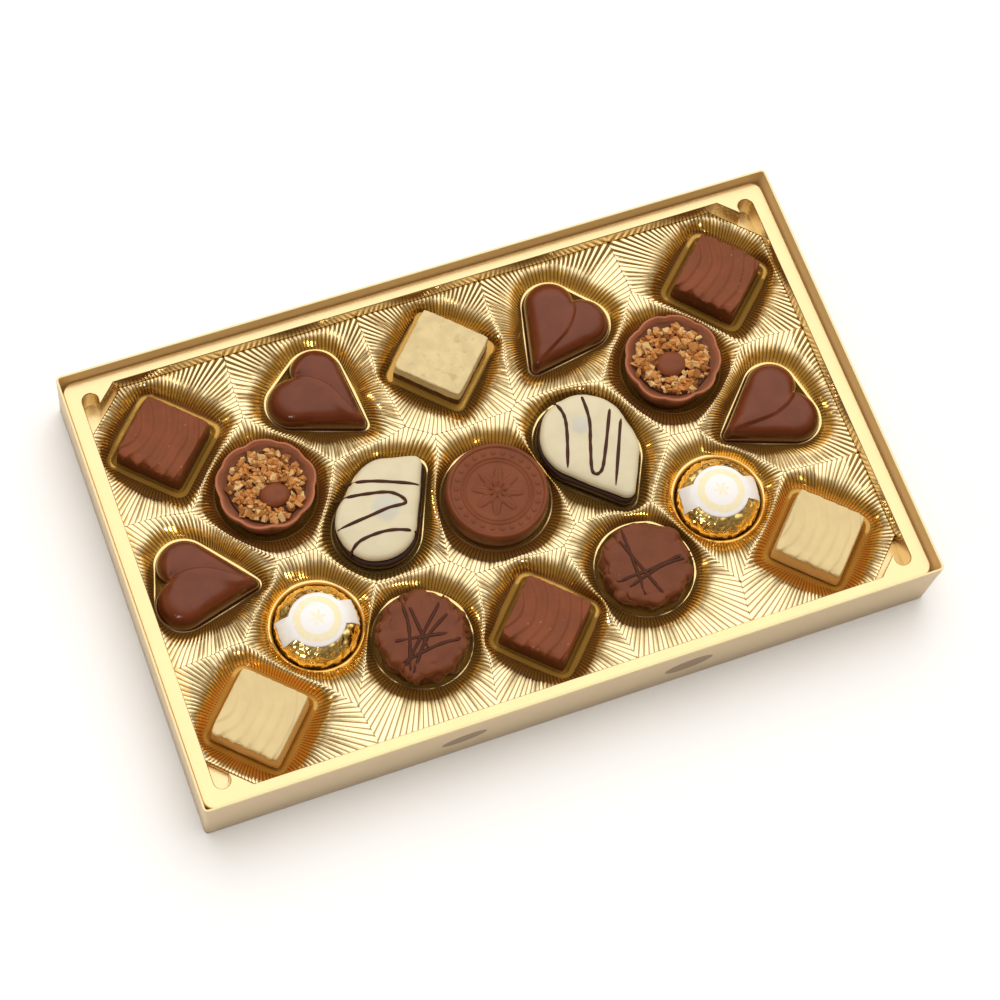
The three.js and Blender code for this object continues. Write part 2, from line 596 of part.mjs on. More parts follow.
for (const number of [1, 2]) {
  const name = `foil_ball_${number}`;
  place(name, 'foil', foilBall(60 + number), ...spot(name));
  place(`foil_label_${number}`, 'label', foilLabel(), ...spot(name));
}

export default group;
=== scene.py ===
"""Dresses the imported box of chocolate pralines: a gold carton, a ribbed insert and nineteen pralines.

Named sizes are in millimetres, as in the part. Everything is made in Blender's metres.
"""

import math
import random

import bmesh
import bpy
import numpy as np
from mathutils import Matrix, Vector, noise
from mathutils.bvhtree import BVHTree


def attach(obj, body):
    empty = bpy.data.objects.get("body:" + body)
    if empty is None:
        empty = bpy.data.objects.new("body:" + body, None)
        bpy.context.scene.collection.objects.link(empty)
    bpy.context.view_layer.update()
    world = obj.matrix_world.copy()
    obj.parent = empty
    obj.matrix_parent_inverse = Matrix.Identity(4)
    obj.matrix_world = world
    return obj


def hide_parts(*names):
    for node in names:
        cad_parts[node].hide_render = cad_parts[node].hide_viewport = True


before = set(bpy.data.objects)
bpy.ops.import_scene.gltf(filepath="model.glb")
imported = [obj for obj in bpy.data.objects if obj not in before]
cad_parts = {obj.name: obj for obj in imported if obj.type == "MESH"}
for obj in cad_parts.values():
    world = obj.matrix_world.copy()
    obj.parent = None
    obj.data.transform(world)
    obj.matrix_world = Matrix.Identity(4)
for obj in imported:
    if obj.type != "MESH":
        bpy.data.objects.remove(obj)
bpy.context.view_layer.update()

bl_info = {
    "name": "Box of chocolate pralines",
    "version": (1, 0, 0),
    "blender": (4, 5, 0),
    "location": "3D View > Sidebar > Pralines",
    "description": "Builds a gold carton with a ribbed insert and nineteen pralines around a packed frame",
    "category": "Object",
}

MM = 0.001
FULL = 2 * math.pi

# The camera was fitted to the carton's corners in the photograph.
CAMERA = {
    "place": (-190.066, -321.699, 874.385),
    "elevation": 66.826, "heading": -30.855, "roll": 11.368, "lens": 103.795,
}

# The packaging
CARTON = {"length": 250, "width": 154.4, "height": 23, "wall": 0.8, "corner": 1.6, "lean": 2.4}
TRAY = {
    "length": 246.8, "width": 151.6, "corner": 4, "middle": -0.6, "flange": 18.6, "field": 13.2,
    "pocket": 9.6, "half_length": 118.3, "half_width": 71.8, "sheet": 0.35,
}
CORNER = {"slot": 2.7, "slot_height": 67.6, "tooth_inset": 5.3, "tooth_tip": 65.4, "chamfer": 58}
# A chamfer of the field: |x| + |y| from the tray's middle
DIAGONAL = TRAY["half_length"] + CORNER["chamfer"]
QUARTERS = [(1, 1), (-1, 1), (-1, -1), (1, -1)]

# The undersides of most pralines, and the tops of the square ones
SEAT, SQUARE_TOP = 8.3, 17.3

# The praline shapes, as circles (x, y, radius) that a rope goes round
HEART_LOBE = {"x": 6.2, "y": 8.3, "radius": 8.2}
HEART_TIP = {"y": -13.2, "radius": 1.5}
HEART_ROPE = [
    (HEART_LOBE["x"], HEART_LOBE["y"], HEART_LOBE["radius"]),
    (-HEART_LOBE["x"], HEART_LOBE["y"], HEART_LOBE["radius"]),
    (0, HEART_TIP["y"], HEART_TIP["radius"]),
]
COOKIE_LEFT = [(-4, -2.5, 13.6), (3.2, 7.8, 11), (14.5, 13.2, 3.1)]
COOKIE_RIGHT = [(-1.5, 3, 15.5), (3, -3, 12), (4.7, -18.8, 3.4)]


def diamond(reach, corner):
    """Circles at the four corners of a square that stands on a corner."""
    return [(reach * math.cos(a), reach * math.sin(a), corner) for a in np.arange(4) * FULL / 4]


def disc(radius):
    """One circle round the middle."""
    return [(0, 0, radius)]


SQUARE_ROPE = diamond(15.2, 1)
LAYERED_ROPE = diamond(16.3, 0.5)

# Every praline: its cup, its rope, its middle and its turn in degrees
PLACES = {
    "milk_square_1": ("square", SQUARE_ROPE, -97.8, 49, 0.8),
    "milk_square_2": ("square", SQUARE_ROPE, 97, 48, -2),
    "milk_square_3": ("square", SQUARE_ROPE, -1.7, -49.3, 1),
    "ivory_square_1": ("square", SQUARE_ROPE, -98, -50.2, 1),
    "ivory_square_2": ("square", SQUARE_ROPE, 93.6, -50.2, 1),
    "layered": ("layered", LAYERED_ROPE, -1.8, 49.1, 0.5),
    "heart_1": ("heart", HEART_ROPE, -42.8, 46.4, 38),
    "heart_2": ("heart", HEART_ROPE, 37.6, 45.6, -47.4),
    "heart_3": ("heart", HEART_ROPE, 92.8, -3.4, -76),
    "heart_4": ("heart", HEART_ROPE, -98.6, -2.4, 72),
    "nut_cup_1": ("nut_cup", disc(16), -71.6, 22.5, 0),
    "nut_cup_2": ("nut_cup", disc(16), 70.6, 23, 25),
    "cookie_1": ("round", COOKIE_LEFT, -38, 1, 0),
    "cookie_2": ("round", COOKIE_RIGHT, 34, 3, 0),
    "rough_round_1": ("round", disc(15.3), -40.8, -41.6, 0),
    "rough_round_2": ("round", disc(15.3), 35.8, -41.8, 0),
    "medallion": ("round", disc(17.2), -1.4, -3.2, 0),
    "foil_ball_1": ("ball", disc(14.3), -71, -26.4, 0),
    "foil_ball_2": ("ball", disc(14.3), 68, -26.4, -8),
}

# Each cup from its floor up to its lip: how far the rope is spread, how much it grows, and the height
CUPS = {
    "square": [(1, -0.3, 8), (1, 0.5, 8.1), (1, 1, 8.8), (1, 1.3, 9.3), (1, 1.7, 9.5), (1, 2.6, 9.6)],
    "layered": [(1, -0.3, 9.86), (1, 0.6, 9.88), (1, 1.6, 9.9), (1, 2.2, 9.94)],
    "heart": [(1, -0.7, 8), (1, 0, 8.2), (1, 0.6, 9), (1.01, 0.8, 9.9), (1.01, 1, 10.2), (1.02, 1.2, 10.1)],
    "round": [(1, -0.7, 8), (1, 0, 8.2), (1, 0.5, 9), (1, 0.7, 9.9), (1.01, 0.9, 10.2), (1.01, 1.2, 10.1)],
    "ball": [(1, -4.6, 1.7), (1, -1.4, 4.4), (1, 0, 7.4), (1, 0.1, 9), (1, 0.35, 9.7), (1, 0.8, 10.1),
             (1, 1, 10.1)],
    "nut_cup": [(1, -4, 1.7), (1, -1.6, 4.4), (1, 0, 7.4), (1, 0.4, 8.8), (1, 0.5, 9.3), (1, 0.8, 9.8)],
}

# Threads of chocolate, from the middle of their praline
THREADS = {
    "cookie_1": [
        [(-9.6, 14), (0, 11.4), (12.3, 6.4)],
        [(-14.4, 9.6), (-5, 8.2), (3.6, 6), (7, 1.4), (0, 1), (-16, -0.6)],
        [(-15, -9), (-11, -6.6), (-1.6, -6.2), (7.2, -8.9)],
    ],
    "cookie_2": [
        [(-6.6, 18), (-5.4, 12.4), (-6.6, 6), (-10.4, -4.8)],
        [(2.8, 18), (2, 8), (-1, -1), (-3.6, -9.6), (-1, -10.6), (2.6, -5), (10.8, 11.4)],
        [(13.2, 7.6), (2.4, -15.6)],
    ],
    "rough_round_1": [
        [(-3.4, 13), (-3.6, 4), (-7.6, -9)], [(-1.4, 13), (-0.4, -4)], [(10, 9.6), (0, 0), (-9.4, -9)],
        [(12, 5), (1, -1.6), (-6.4, -10.4)], [(-13.4, 0.8), (13.4, -3.4)],
        [(-8, -7), (3, -5.4), (13, -5.6)],
    ],
    "rough_round_2": [
        [(-6.6, 11.4), (-3, 0), (1, -12)], [(-4, 11.6), (-4.6, -9)], [(-10, -3.4), (2, -2.8), (14, -0.8)],
        [(-7, -6), (4, -3), (14, -2.6)],
    ],
}


# Properties

def linear(channel):
    """A channel of a screen colour, 0 to 255, as Blender's linear light."""
    part = channel / 255
    return part / 12.92 if part <= 0.04045 else ((part + 0.055) / 1.055) ** 2.4


def colour(name, description, *channels):
    """A colour property, given in screen values."""
    return bpy.props.FloatVectorProperty(
        name=name, description=description, subtype="COLOR", size=3, min=0, max=1,
        default=[linear(c) for c in channels])


def length(name, description, millimetres):
    """A length property, given in millimetres."""
    return bpy.props.FloatProperty(
        name=name, description=description, default=millimetres * MM, min=0, unit="LENGTH",
        subtype="DISTANCE")


class PackSettings(bpy.types.PropertyGroup):
    """Sizes and colours of the carton and the insert."""

    rib_pitch: length("Rib pitch", "Distance between ribs, 20 mm from a cup's middle", 1.12)
    rib_depth: length("Rib depth", "Height of a rib above its groove", 0.29)
    funnel: length("Funnel", "How far a cup's slope reaches into the field", 7.8)
    card: colour("Card", "Printed outside of the carton", 226, 202, 162)
    card_edge: colour("Card edge", "Cut edge of the card", 240, 220, 170)
    lining: colour("Lining", "Gold inside of the carton", 244, 208, 146)
    film: colour("Film", "Gold of the insert's ribs", 255, 235, 186)
    flange: colour("Flange", "Gold of the smooth flange", 232, 207, 158)
    # Painted shade: the darker gold inside the cups.
    film_shaded: colour("Deep film", "Gold of the insert inside its cups", 225, 175, 82)


class PralineSettings(bpy.types.PropertyGroup):
    """Sizes and colours of the pralines."""

    ridge_pitch: length("Ridge pitch", "Distance between the ridges of a square praline", 3.7)
    ridge_depth: length("Ridge depth", "Depth of the ridges of a square praline", 0.72)
    nut_size: length("Nut size", "Width of a piece of nut", 3.9)
    crinkle: length("Crinkle", "Depth of the creases in the foil", 0.85)
    milk: colour("Milk chocolate", "Milk chocolate", 124, 66, 38)
    glossy: colour("Moulded chocolate", "Chocolate of the hearts", 106, 50, 25)
    shell: colour("Cup chocolate", "Chocolate of the nut cups", 172, 107, 77)
    dark: colour("Dark chocolate", "Dark base and threads", 62, 28, 12)
    ivory: colour("White chocolate", "White chocolate", 214, 192, 142)
    # Painted shade: the darker, more orange tone of the white squares' lower sides.
    ivory_shaded_side: colour("White chocolate side", "Side of the white chocolate squares", 238, 184, 108)
    icing: colour("Icing", "White coating of the drop-shaped pralines", 212, 200, 168)
    nut: colour("Nuts", "Roasted chopped nuts", 198, 132, 68)
    foil: colour("Foil", "Gold foil of the balls", 250, 218, 138)
    paper: colour("Paper", "Label of the foil balls", 238, 236, 238)
    print_gold: colour("Printed gold", "Ring on the label", 240, 226, 176)


class StageSettings(bpy.types.PropertyGroup):
    """The floor, the lights and the camera."""

    floor: colour("Floor", "The floor below the carton", 251, 252, 255)
    overhead: bpy.props.FloatProperty(
        name="Overhead", description="Power of the soft light above", default=4.5, min=0, unit="POWER")
    front: bpy.props.FloatProperty(
        name="Front", description="Power of the small light at the front left", default=1.2, min=0,
        unit="POWER")
    sky: bpy.props.FloatProperty(
        name="Surroundings", description="Brightness of the room", default=1.0, min=0)


# Shader maths

class Value:
    """A socket of numbers. Operators on it add Math nodes."""

    def __init__(self, shader, socket):
        self.shader, self.socket = shader, socket

    def math(self, operation, *others):
        """One Math node on this value and up to two others."""
        node = self.shader.node("Math", {"operation": operation}, dict(enumerate((self, *others))))
        return Value(self.shader, node.outputs[0])

    def __add__(self, other):
        return self.math("ADD", other)

    def __mul__(self, other):
        return self.math("MULTIPLY", other)

    def __sub__(self, other):
        return self.math("SUBTRACT", other)

    def __rsub__(self, other):
        return (self * -1) + other

    def __truediv__(self, other):
        return self.math("DIVIDE", other)

    def ramp(self, start, end):
        """0 at start and 1 at end, smooth between them. End may be the smaller."""
        inputs = {"Value": self, "From Min": start, "From Max": end}
        node = self.shader.node("MapRange", {"interpolation_type": "SMOOTHSTEP"}, inputs)
        return Value(self.shader, node.outputs["Result"])


class Shader:
    """One material and the nodes that make it."""

    def __init__(self, name, **constants):
        self.material = bpy.data.materials.new(name)
        self.material.use_nodes = True
        self.tree = self.material.node_tree
        self.surface = self.tree.nodes["Principled BSDF"].inputs
        for key, value in constants.items():
            self.surface[key.replace("_", " ").title().replace("Ior", "IOR")].default_value = value
        coordinates = self.node("TexCoord").outputs["Object"]
        scaled = self.node("VectorMath", {"operation": "SCALE"}, {0: coordinates, "Scale": 1 / MM})
        self.place = scaled.outputs["Vector"]

    def node(self, kind, settings=None, inputs=None):
        """A node of this kind, with its settings made first and its sockets fed after."""
        node = self.tree.nodes.new("ShaderNode" + kind)
        for key, value in (settings or {}).items():
            setattr(node, key, value)
        for key, value in (inputs or {}).items():
            self.feed(node.inputs[key], value)
        return node

    def feed(self, socket, value):
        """A link or a plain value into a socket."""
        if isinstance(value, Value):
            value = value.socket
        if isinstance(value, bpy.types.NodeSocket):
            self.tree.links.new(value, socket)
        elif hasattr(value, "__len__") and len(value) == 3 and socket.type == "RGBA":
            socket.default_value = (*value, 1)
        else:
            socket.default_value = value

    def paint(self, **surfaces):
        """Links what changes over the surface into the shader, and gives the material."""
        for key, value in surfaces.items():
            self.feed(self.surface[key.replace("_", " ").title()], value)
        return self.material

    def axis(self, name):
        """X, Y or Z of the object's place, in millimetres."""
        node = self.node("SeparateXYZ", None, {0: self.place})
        return Value(self, node.outputs[name])

    def noise(self, scale, detail=2.0):
        """Soft noise from 0 to 1, with scale features for each millimetre."""
        inputs = {"Vector": self.place, "Scale": scale, "Detail": detail}
        return Value(self, self.node("TexNoise", None, inputs).outputs["Fac"])

    def cells(self, scale):
        """Distance to the nearest of scattered points."""
        inputs = {"Vector": self.place, "Scale": scale}
        return Value(self, self.node("TexVoronoi", None, inputs).outputs["Distance"])

    def attribute(self, name):
        """A value that the mesh carries."""
        return Value(self, self.node("Attribute", {"attribute_name": name}).outputs["Fac"])

    def mix(self, factor, first, second):
        """A colour between two colours."""
        inputs = {0: factor, 6: first, 7: second}
        return self.node("Mix", {"data_type": "RGBA"}, inputs).outputs[2]

    def cloudy(self, cloud, low, high):
        """A colour that drifts between two colours with soft noise."""
        return self.mix(cloud.ramp(0.3, 0.7), low, high)

    def bump(self, height, depth):
        """A normal from heights between 0 and 1 that stand for depth in millimetres."""
        inputs = {"Height": height, "Distance": depth * MM, "Strength": 1.0}
        return self.node("Bump", None, inputs).outputs["Normal"]


def darker(value, factor):
    """A colour times a factor."""
    return [min(1, channel * factor) for channel in value]


# Curves and meshes

class Outline:
    """A closed curve round the origin, read as its distance in any direction."""

    def __init__(self, points):
        angles = np.arctan2(points[:, 1], points[:, 0])
        order = np.argsort(angles)
        self.angles, self.reach = angles[order], np.hypot(points[:, 0], points[:, 1])[order]

    def at(self, angles):
        """The distances of the curve in these directions."""
        return np.interp(angles, self.angles, self.reach, period=FULL)


def roped(circles, spread=1.0, grow=0.0, middle=(0, 0)):
    """The outline of a rope round circles, seen from a middle inside it."""
    side = np.linspace(0, FULL, 720, endpoint=False)
    normal = np.stack([np.cos(side), np.sin(side)], 1)
    centres = np.array([circle[:2] for circle in circles]) * spread
    radii = np.array([circle[2] for circle in circles])
    far = np.argmax(normal @ centres.T + radii, axis=1)
    points = centres[far] + normal * (radii[far] + grow)[:, None]
    closed = np.vstack([points, points[:1]])
    walk = np.concatenate([[0], np.cumsum(np.hypot(*np.diff(closed, axis=0).T))])
    even = np.linspace(0, walk[-1], 720, endpoint=False)
    spaced = np.stack([np.interp(even, walk, closed[:, axis]) for axis in (0, 1)], 1)
    return Outline(spaced - np.array(middle))


def smooth_path(points, steps):
    """Points on a smooth curve through the given points."""
    points = np.asarray(points, float)
    ends = np.vstack([2 * points[0] - points[1], points, 2 * points[-1] - points[-2]])
    t = np.linspace(0, 1, steps, endpoint=False)[:, None]
    parts = []
    for a, b, c, d in zip(ends, ends[1:], ends[2:], ends[3:]):
        cubic = (3 * b - a - 3 * c + d) * t ** 3
        parts.append(0.5 * (2 * b + (c - a) * t + (2 * a - 5 * b + 4 * c - d) * t ** 2 + cubic))
    return np.vstack([*parts, points[-1:]])


def step_up(value, low, high):
    """0 below low, 1 above high and smooth between, for numbers and arrays."""
    t = np.clip((value - low) / (high - low), 0, 1)
    return t * t * (3 - 2 * t)


def spokes(count):
    """Evenly spaced directions."""
    return np.arange(count) / count * FULL


def arc(middle, radius, angles):
    """Points on a circle round a middle."""
    return np.array(middle) + radius * np.stack([np.cos(angles), np.sin(angles)], 1)


def ring(angles, reach, height):
    """A closed loop of points at this distance in each direction."""
    height = np.broadcast_to(height, angles.shape)
    return np.stack([reach * np.cos(angles), reach * np.sin(angles), height], 1)


def skin(bm, loops, close=(True, True)):
    """Extrudes a circle through loops of points, and closes its ends where asked."""
    count = len(loops[0])
    index = bm.verts.layers.int.get("spoke") or bm.verts.layers.int.new("spoke")
    verts = bmesh.ops.create_circle(bm, segments=count, radius=1)["verts"]
    for number, vert in enumerate(verts):
        vert[index] = number
        vert.co = loops[0][number]
    edges = first = edges_at(verts)
    for loop in loops[1:]:
        made = bmesh.ops.extrude_edge_only(bm, edges=edges)["geom"]
        verts = new_verts(made)
        edges = [item for item in made if isinstance(item, bmesh.types.BMEdge)]
        for vert in verts:
            vert.co = loop[vert[index]]
    for wanted, border in zip(close, (first, edges)):
        if wanted:
            bmesh.ops.edgeloop_fill(bm, edges=border)


def lofted(loops):
    """A new mesh with a closed skin through loops of points."""
    bm = bmesh.new()
    skin(bm, loops)
    return bm


def put(name, data):
    """A new object with this data, in the scene."""
    made = bpy.data.objects.new(name, data)
    bpy.context.scene.collection.objects.link(made)
    return made


def put_mesh(name, bm, material):
    """A new object from a mesh, with its material."""
    mesh = bpy.data.meshes.new(name)
    bm.to_mesh(mesh)
    bm.free()
    mesh.materials.append(material)
    return put(name, mesh)


def rounded(bm, edges, radius, segments):
    """Rounds edges of a mesh."""
    bmesh.ops.bevel(bm, geom=edges, offset=radius, affect="EDGES", segments=segments, profile=0.5,
                    material=-1)


def even_shading(made):
    """Keeps flat faces flat beside their rounded edges."""
    made.modifiers.new("Even shading", "WEIGHTED_NORMAL").keep_sharp = True


def edges_at(verts):
    """The edges at these vertices, in the same order each run."""
    return list(dict.fromkeys(edge for vert in verts for edge in vert.link_edges))


def new_verts(made):
    """The vertices among what an operator of bmesh made."""
    return [item for item in made if isinstance(item, bmesh.types.BMVert)]


def thicken(made, name, thickness, offset):
    """Gives an open surface its thickness in millimetres, behind it at -1 and before it at 1."""
    modifier = made.modifiers.new(name, "SOLIDIFY")
    modifier.thickness, modifier.offset = thickness * MM, offset


def piece(name, bm, material, slot, nodes, place=None, smooth=True, sheet=0.0):
    """Turns a mesh in millimetres into a finished piece that stands for CAD nodes.

    With a place, the mesh stands around a praline's own middle, and goes to its place in the tray.
    A sheet is an open surface seen from above. Its thickness goes down from there.
    """
    if place:
        _, _, x, y, turn = PLACES[place]
        matrix = Matrix.Translation((x, y, 0)) @ Matrix.Rotation(math.radians(turn), 4, "Z")
        bmesh.ops.transform(bm, matrix=matrix, verts=bm.verts)
    bmesh.ops.remove_doubles(bm, verts=bm.verts, dist=1e-5)
    bmesh.ops.recalc_face_normals(bm, faces=bm.faces)
    if sheet and sum(face.normal.z * face.calc_area() for face in bm.faces) < 0:
        bmesh.ops.reverse_faces(bm, faces=bm.faces)
    bmesh.ops.scale(bm, vec=(MM, MM, MM), verts=bm.verts)
    for face in bm.faces:
        face.smooth = smooth
    made = put_mesh(name, bm, material)
    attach(made, "root")
    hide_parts(*nodes)
    if sheet:
        thicken(made, "Thickness", sheet, -1)
    return made


def thread(bm, route, width, height, surface, sides=8, run_on=0.0):
    """A flattened thread along a route that lies on a surface, with round ends that run on a little."""
    points = np.asarray(route, float)
    ways = points[0] - points[1], points[-1] - points[-2]
    for end, way in zip((0, -1), ways):
        points[end] += way / np.hypot(*way) * run_on
    flat = smooth_path(points, 14)
    heights = np.array([surface(x, y) for x, y in flat])
    heights = np.convolve(np.pad(heights, 2, mode="edge"), np.ones(5) / 5, mode="valid")
    along = np.gradient(flat, axis=0)
    along /= np.hypot(along[:, 0], along[:, 1])[:, None]
    across = np.stack([-along[:, 1], along[:, 0]], 1)
    number = np.arange(len(flat))
    from_end = np.minimum(number, number[::-1]) / 2
    swell = np.sqrt(np.clip(from_end, 0.08, 1)) * (1 + 0.1 * np.sin(number * 0.9))
    angles = spokes(sides)
    loops = []
    for spot, side, z, size in zip(flat, across, heights, swell):
        aside = side[None, :] * (np.cos(angles) * width / 2 * size)[:, None]
        rise = z + height * (0.25 + 0.75 * np.sin(angles) * size)
        loops.append(np.column_stack([spot[None, :] + aside, rise]))
    skin(bm, loops)


def drizzle(routes, *shape, **more):
    """A new mesh of threads along routes."""
    bm = bmesh.new()
    for route in routes:
        thread(bm, route, *shape, **more)
    return bm


def height_finder(bm, beside):
    """A function that reads a mesh's height from above, and another height beside the mesh."""
    tree = BVHTree.FromBMesh(bm)
    above = 2 * CARTON["height"]

    def surface(x, y):
        hit = tree.ray_cast(Vector((x, y, above)), Vector((0, 0, -1)))[0]
        return hit.z if hit else beside

    return surface


def lumps(x, y, z, size, seed):
    """Smooth noise from about -1 to 1 with features of this size."""
    return noise.noise(Vector((x / size + seed, y / size - seed, z / size)))


# The chocolates' finishes

def chocolate(name, base, gloss, seeds=0.0, side=None, shade_top=16.0, fade=3.0):
    """Chocolate with soft clouds of tone, fine grain and a gloss that varies a little.

    Below a set height it fades to a painted shade: its shaded side tone when one is given, else the base at
    40 percent. Seeds is the size of the specks that show.
    """
    shader = Shader(name, specular_ior_level=0.3 if gloss < 0.2 else 0.18)
    cloud = shader.noise(0.16, 3)
    grain = shader.noise(3.2, 3)
    calm = 0.4 if side else 1.0
    tone = shader.cloudy(cloud, darker(base, 1 - 0.1 * calm), darker(base, 1 + 0.08 * calm))
    # Painted shade: below the shade height the colour fades three quarters of the way to the darker side
    # tone.
    low = shader.axis("Z").ramp(shade_top, shade_top - fade) * 0.75
    tone = shader.mix(low, tone, side or darker(base, 0.4))
    if seeds:
        speck = shader.cells(0.42).ramp(seeds, seeds * 0.4) * shader.noise(0.3, 1).ramp(0.48, 0.6)
        tone = shader.mix(speck, tone, (0.42, 0.17, 0.07))
    return shader.paint(
        base_color=tone, roughness=(cloud - 0.5) * 0.14 + gloss + grain * 0.05,
        normal=shader.bump(grain * 0.4 + cloud, 0.08))


def film(settings):
    """Metallised gold film with painted light: a darker gold in the cups as painted shade, darker and less
    metallic at their bottoms as painted shade, a pale painted highlight at their lips and painted shade in
    the grooves between ribs.
    """
    shader = Shader("gold_film")
    height = shader.axis("Z")
    # Painted shade: the cups' bottoms go dark brown and less metallic.
    bottom = height.ramp(10.05, 9.9)
    # Painted highlight: a pale line along the cups' lips.
    lip = height.ramp(10.02, 10.1) * height.ramp(10.35, 10.25)
    # Painted shade: a darker, deeper gold inside the cups, lighter again at the lips.
    low = height.ramp(TRAY["field"] - 0.1, TRAY["field"] - 1.2) * (1 - lip * 0.5)
    cloud = shader.noise(0.2, 2)
    tone = shader.mix(low, settings.film, settings.film_shaded)
    # Painted shade: dark brown at the cups' bottoms.
    tone = shader.mix(bottom * 0.65, tone, (0.36, 0.19, 0.03))
    # Painted shade: thin dark lines in the grooves between ribs.
    groove = shader.attribute("groove").ramp(0.45, 0.95)
    tone = shader.mix(groove * 0.85, tone, (0.22, 0.09, 0.013))
    return shader.paint(
        base_color=tone, metallic=bottom * -0.4 + low * -0.12 + 1, roughness=cloud * 0.06 + 0.12,
        normal=shader.bump(shader.noise(0.9, 2), 0.03))


class PieceOperator(bpy.types.Operator):
    """What every step shares."""

    bl_options = {"REGISTER"}


class PRALINES_OT_carton(PieceOperator):
    """Make the open carton of gold card"""

    bl_idname = "pralines.carton"
    bl_label = "Carton"

    # Two plain printed ovals on the front: middle x and z, half width and half height
    MARKS = ((-39.5, 11.5, 7.6, 3.0), (37, 11.5, 8.2, 3.8))
    SLANT, SHARP, RIM_ROUND = 0.12, 0.05, 0.24

    def finish(self, settings):
        """Printed card outside, a gold lining inside and a pale cut edge."""
        shader = Shader("card", specular_ior_level=0.5)
        x, y, z = (shader.axis(name) for name in "XYZ")
        half_length = CARTON["length"] / 2 - CARTON["wall"] / 2
        half_width = CARTON["width"] / 2 - CARTON["wall"] / 2
        leaning = half_length - (1 - z / CARTON["height"]) * CARTON["lean"]
        inner = (y.math("ABSOLUTE").ramp(half_width, half_width - self.SHARP)
                 * x.ramp(-half_length, self.SHARP - half_length) * (x - leaning).ramp(0, -self.SHARP)
                 * z.ramp(CARTON["wall"] / 2, CARTON["wall"] / 2 + self.SHARP))
        edge = z.ramp(CARTON["height"] - 0.5, CARTON["height"] - 0.1)
        fibre = shader.noise(1.4, 4)
        left, right = (self.spot(x, z, *mark) for mark in self.MARKS)
        mark = left.math("MAXIMUM", right) * y.ramp(-half_width, -half_width - self.SHARP)
        outside = shader.mix(mark * 0.75, settings.card, (0.20, 0.10, 0.05))
        tone = shader.mix(inner, outside, settings.lining)
        tone = shader.mix(edge, tone, settings.card_edge)
        return shader.paint(
            base_color=tone, metallic=inner * 0.15 + 0.15, roughness=fibre * 0.1 + 0.45,
            normal=shader.bump(fibre, 0.02))

    def spot(self, x, z, middle_x, middle_z, half_wide, half_high):
        """A plain printed oval."""
        away = x - middle_x
        across = away / half_wide
        up = (z - middle_z - away * self.SLANT) / half_high
        return (across * across + up * up).ramp(1.05, 0.9)

    def execute(self, context):
        bm = bmesh.new()
        bmesh.ops.create_cube(bm, size=1)
        height, bare = CARTON["height"], 0.01
        bmesh.ops.scale(bm, vec=(CARTON["length"], CARTON["width"], height), verts=bm.verts)
        bmesh.ops.translate(bm, vec=(0, 0, height / 2), verts=bm.verts)
        upright = [edge for edge in bm.edges if abs(edge.verts[0].co.z - edge.verts[1].co.z) > 1]
        rounded(bm, upright, CARTON["corner"], 5)
        top = max(bm.faces, key=lambda face: face.calc_center_median().z)
        bmesh.ops.inset_region(bm, faces=[top], thickness=CARTON["wall"], use_even_offset=True)
        sunk = new_verts(bmesh.ops.extrude_face_region(bm, geom=[top])["geom"])
        bmesh.ops.delete(bm, geom=[top], context="FACES_ONLY")
        bmesh.ops.translate(bm, vec=(0, 0, CARTON["wall"] - height), verts=sunk)
        for vert in bm.verts:
            if vert.co.x > 0:
                vert.co.x -= CARTON["lean"] * (1 - vert.co.z / height)
        rims = [edge for edge in bm.edges if all(v.co.z > height - bare for v in edge.verts)
                and len(edge.link_faces) == 2
                and any(f.calc_center_median().z < height - 1 for f in edge.link_faces)]
        rounded(bm, rims, self.RIM_ROUND, 3)
        even_shading(piece("carton_card", bm, self.finish(context.scene.praline_pack), "card", ["carton"]))
        return {"FINISHED"}


